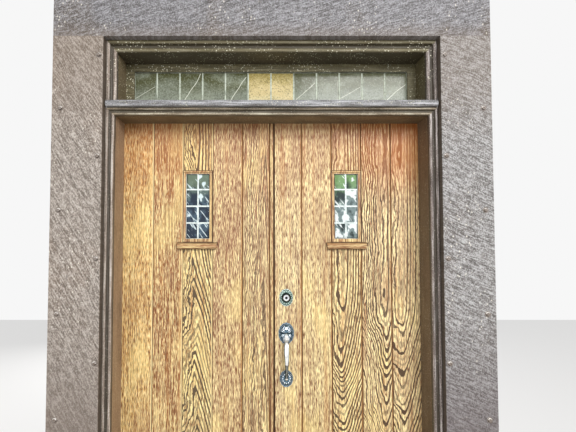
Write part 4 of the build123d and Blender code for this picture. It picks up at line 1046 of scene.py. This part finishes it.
# %% Thumb piece
press = math.radians(15)
along = np.linspace(0, 1, 40)[:, None]
ring = np.linspace(0, full_turn, 48, endpoint=False)
wide = 13 * np.interp(along, [0, 0.08, 0.25, 0.5, 0.75, 0.92, 1], [0.45, 0.52, 0.66, 0.92, 1, 0.66, 0.12])
dish = 985.8 - 4 * (1 - (2 * along - 1) ** 2) - 2 * along
rib = 0.9 * ridge(np.cos(ring), 0.22) * (np.sin(ring) > 0)
rim_height = 2 * np.sign(np.sin(ring)) * np.abs(np.sin(ring)) ** 0.7
pad = np.stack([lock_x + wide * np.cos(ring), 150 - 43.5 * along + 0 * ring,
                dish + rim_height + rib * np.clip(1 - along, 0.2, 1)], axis=-1)
neck = block((lock_x - 4, 144, 981.5), (lock_x + 4, 199, 988.5))
points, faces = joined((pad.reshape(-1, 3), net_faces(40, 48)), neck, cross_rod(pivot, 2, 24))
away_y, away_z = points[:, 1] - pivot[1], points[:, 2] - pivot[2]
points[:, 1] = pivot[1] + away_y * math.cos(press) - away_z * math.sin(press)
points[:, 2] = pivot[2] + away_y * math.sin(press) + away_z * math.cos(press)
# The pad is painted near white and not metallic: a painted highlight for the glint of bright metal.
shine = np.repeat([1, 0.25, 0.3], [pad.size // 3, 8, 32])
thumb_highlight_finish = cast_metal("cast_thumb", "#78807c", "#d6dad6", "#fffffe", 18, metallic=0)
mesh_piece("thumb_leaf", points * mm, faces, shine, thumb_highlight_finish, "thumb_piece", "thumb_piece")

# %% [markdown]
# The other metal is plain: the bright lock, brass inside, steel hinges and strikes, and rusty iron bolts.
# The domed bolts of the wide boards are under the boards' paint, with a painted highlight above and painted
# shade below. The key plug is near black, a painted shade for its keyway.


# %% Plain metal and painted bolts
def plain_metal(name, colour, dark, rough, metallic=1, scale=120, seed=0):
    """Plain metal with a little tarnish and fine scratches."""
    finish = Finish(name, Metallic=metallic)
    cloud = finish.noise(scale, seed, 4)
    spots = finish.noise(scale * 4, seed + 3, 2)
    coats = ((dark, cloud.smooth(0.45, 0.75) * 0.7), (dark, spots.smooth(0.6, 0.75) * 0.5))
    return finish.done(finish.coats(colour, *coats), cloud * 0.3 + (rough - 0.15), spots, 0.0002, 0.5)


dress(plain_metal("bright_lock", "#f4f8fa", "#969a9c", 0.28, seed=3), "lock_cylinder")
# The key plug is near black, a painted shade for its keyway.
dress(plain_metal("dark_plug", "#18181a", "#08080a", 0.45, seed=4), "key_plug")
dress(plain_metal("inside_brass", "#c4a05c", "#604824", 0.30, seed=6), "inside_roses", "inside_knob",
      "thumb_turn")
dress(plain_metal("hinge_steel", "#96928c", "#544232", 0.42, seed=8), "frame_hinge_plates",
      "hinge_pins", "left_hinge_plates", "right_hinge_plates", "strike_plates", "deadbolt_bolt", "latch_bolt")
dress(plain_metal("bolt_iron", "#4a3c36", "#683e28", 0.65, 0.4, 260, 12), "bolt_guides", "top_bolt",
      "bottom_bolt", "bolt_keeper")
bolts = Finish("painted_bolts", Roughness=0.5)
cloud = bolts.noise(110, 2, 3)
bolt_colour = bolts.coats(
    "#786e66",
    ("#544236", cloud.smooth(0.5, 0.66) * 0.7),
    # Painted shade on the lower half of each dome and a painted highlight on its upper half.
    ("#342c26", (0 - bolts.facing_z).smooth(0, 0.3) * 0.9),
    ("#ece8e2", bolts.facing_z.smooth(0.10, 0.35) * cloud.smooth(0.36, 0.5) * 0.9))
dress(bolts.done(bolt_colour, cloud * 0.4 + 0.25, cloud, 0.0006, 0.8), "surround_bolts")
print("metals ready")

# %% [markdown]
# The screws repeat, so one Geometry Nodes tree makes them all. A grid is rolled into a disc, pushed out
# into a low dome, and sunk along a line for the slot. It stands on each point of a small mesh, turned to
# face the way that the point's stored direction gives and spun by a random angle, as screws are found.


# %% Screws
def screw_tree():
    """Slotted screw heads on points."""
    tree = Tree("screw_heads", radius=0.0038, dome=0.0007, slot=0.0011, spin_seed=3)
    radius, dome, slot = (tree.wires[key] for key in ("radius", "dome", "slot"))
    grid = tree.step("MeshGrid", Size_X=1, Size_Y=1, Vertices_X=41, Vertices_Y=15)
    round_by, out_by, _ = tree.split(tree.step("InputPosition"))
    turn = (round_by + 0.5) * (2 * math.pi)
    reach = out_by + 0.5
    across = reach * radius * turn.maths("COSINE")
    along = reach * radius * turn.maths("SINE")
    groove = (1 - (across.maths("ABSOLUTE") / slot).smooth(0.40, 0.60)) * (1 - reach.smooth(0.86, 0.92))
    height = dome * (1 - reach * reach) - groove * 0.0006 - reach.smooth(0.93, 1) * 0.0005
    disc = tree.step("SetPosition", Geometry=grid, Position=tree.vector(across, along, height))
    closed = tree.step("MergeByDistance", Geometry=disc, Distance=0.00001)
    smooth = tree.step("SetShadeSmooth", Geometry=closed)
    way = tree.node("GeometryNodeInputNamedAttribute", {"data_type": "FLOAT_VECTOR"}, {"Name": "way"})
    facing = tree.node("FunctionNodeAlignRotationToVector", {"axis": "Z"}, {"Vector": way})
    points = tree.step("MeshToPoints", Mesh=tree.wires["Geometry"])
    heads = tree.step("InstanceOnPoints", Points=points, Instance=smooth, Rotation=facing)
    sockets = {"Min": 0, "Max": 6.28, "Seed": tree.wires["spin_seed"]}
    spin = tree.node("FunctionNodeRandomValue", None, sockets, 1)
    return tree.finish(tree.step("RotateInstances", Instances=heads, Rotation=tree.vector(0, 0, spin)))


def scattered(places):
    """A mesh of loose points, each with the way that it faces."""
    mesh = bpy.data.meshes.new("screw_places")
    mesh.from_pydata([place for place, way in places], [], [])
    mark = mesh.attributes.new("way", "FLOAT_VECTOR", "POINT")
    mark.data.foreach_set("vector", [value for place, way in places for value in way])
    return mesh


hinge_heights = (0.250, 1.048, 1.850)
hinge_screws = ((-0.038, 0.188), (-0.013, 0.197), (0.013, 0.188), (0.038, 0.197))
frame_plate_x, leaf_plate_x = 0.762, 0.759
latch_height, lock_height = 0.985, 1.170
strike_x, strike_y, strike_reach = 0.013, 0.19275, 0.0215
guide_x, guide_reach, guide_feet = -0.042, 0.0108, (0.046, 1.850)
inner_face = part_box("left_backing_frame")[1][1]
screws = {"frame": [], "left_leaf": [], "right_leaf": []}
for side, leaf in ((-1, "left_leaf"), (1, "right_leaf")):
    for middle in hinge_heights:
        for up, deep in hinge_screws:
            screws["frame"].append(((side * frame_plate_x, deep, middle + up), (-side, 0, 0)))
            screws[leaf].append(((side * leaf_plate_x, deep, middle + up), (side, 0, 0)))
for middle in (latch_height, lock_height):
    for up in (-strike_reach, strike_reach):
        screws["left_leaf"].append(((strike_x, strike_y, middle + up), (1, 0, 0)))
for low in guide_feet:
    for up in (0.030, 0.170):
        for sideways in (-guide_reach, guide_reach):
            screws["left_leaf"].append(((guide_x + sideways, inner_face + 0.0025, low + up), (0, 1, 0)))
for middle, reach in ((0.992, 0.0205), (lock_height, 0.0175)):
    for sign in (-1, 1):
        screws["right_leaf"].append(((lock_x * mm + sign * reach, inner_face + 0.006, middle), (0, 1, 0)))
screw_steel = plain_metal("screw_steel", "#a8a092", "#4e3e2e", 0.4, seed=15)
screw_maker = screw_tree()
for body, places in screws.items():
    piece = grow(f"{body}_screws", screw_maker, scattered(places), screw_steel.material, spin_seed=7)
    register(piece, body)
print("screws:", sum(len(places) for places in screws.values()))

# %% [markdown]
# A pale floor lies just under the threshold. Most of what the camera sees of it is an even glow, so that
# it stays as light as the sky, and the rest is shaded, so that it still takes the door's shadow.

# %% Floor
floor_low, floor_half, glow_share = -0.001, 6, 0.6
floor_mesh = bpy.data.meshes.new("pale_floor")
corners = [(x * floor_half, y * floor_half, floor_low) for x, y in ((-1, -1), (1, -1), (1, 1), (-1, 1))]
floor_mesh.from_pydata(corners, [], [(0, 1, 2, 3)])
floor = put("pale_floor", floor_mesh)
floor_finish = Finish("floor_pale", Roughness=0.8)
floor_finish.shader.inputs["Base Color"].default_value = light("#e8e6e3")
glow = floor_finish.node("ShaderNodeEmission", None, {"Color": "#f6f6f6", "Strength": 1})
share = floor_finish.node("ShaderNodeLightPath", out="Is Camera Ray") * glow_share
shaded = Field(floor_finish, floor_finish.shader.outputs["BSDF"])
paler = floor_finish.node("ShaderNodeMixShader", None, {0: share, 1: shaded, 2: glow})
floor_finish.tree.links.new(paler.output, floor_finish.tree.nodes["Material Output"].inputs["Surface"])
floor_mesh.materials.append(floor_finish.material)
print("floor ready")
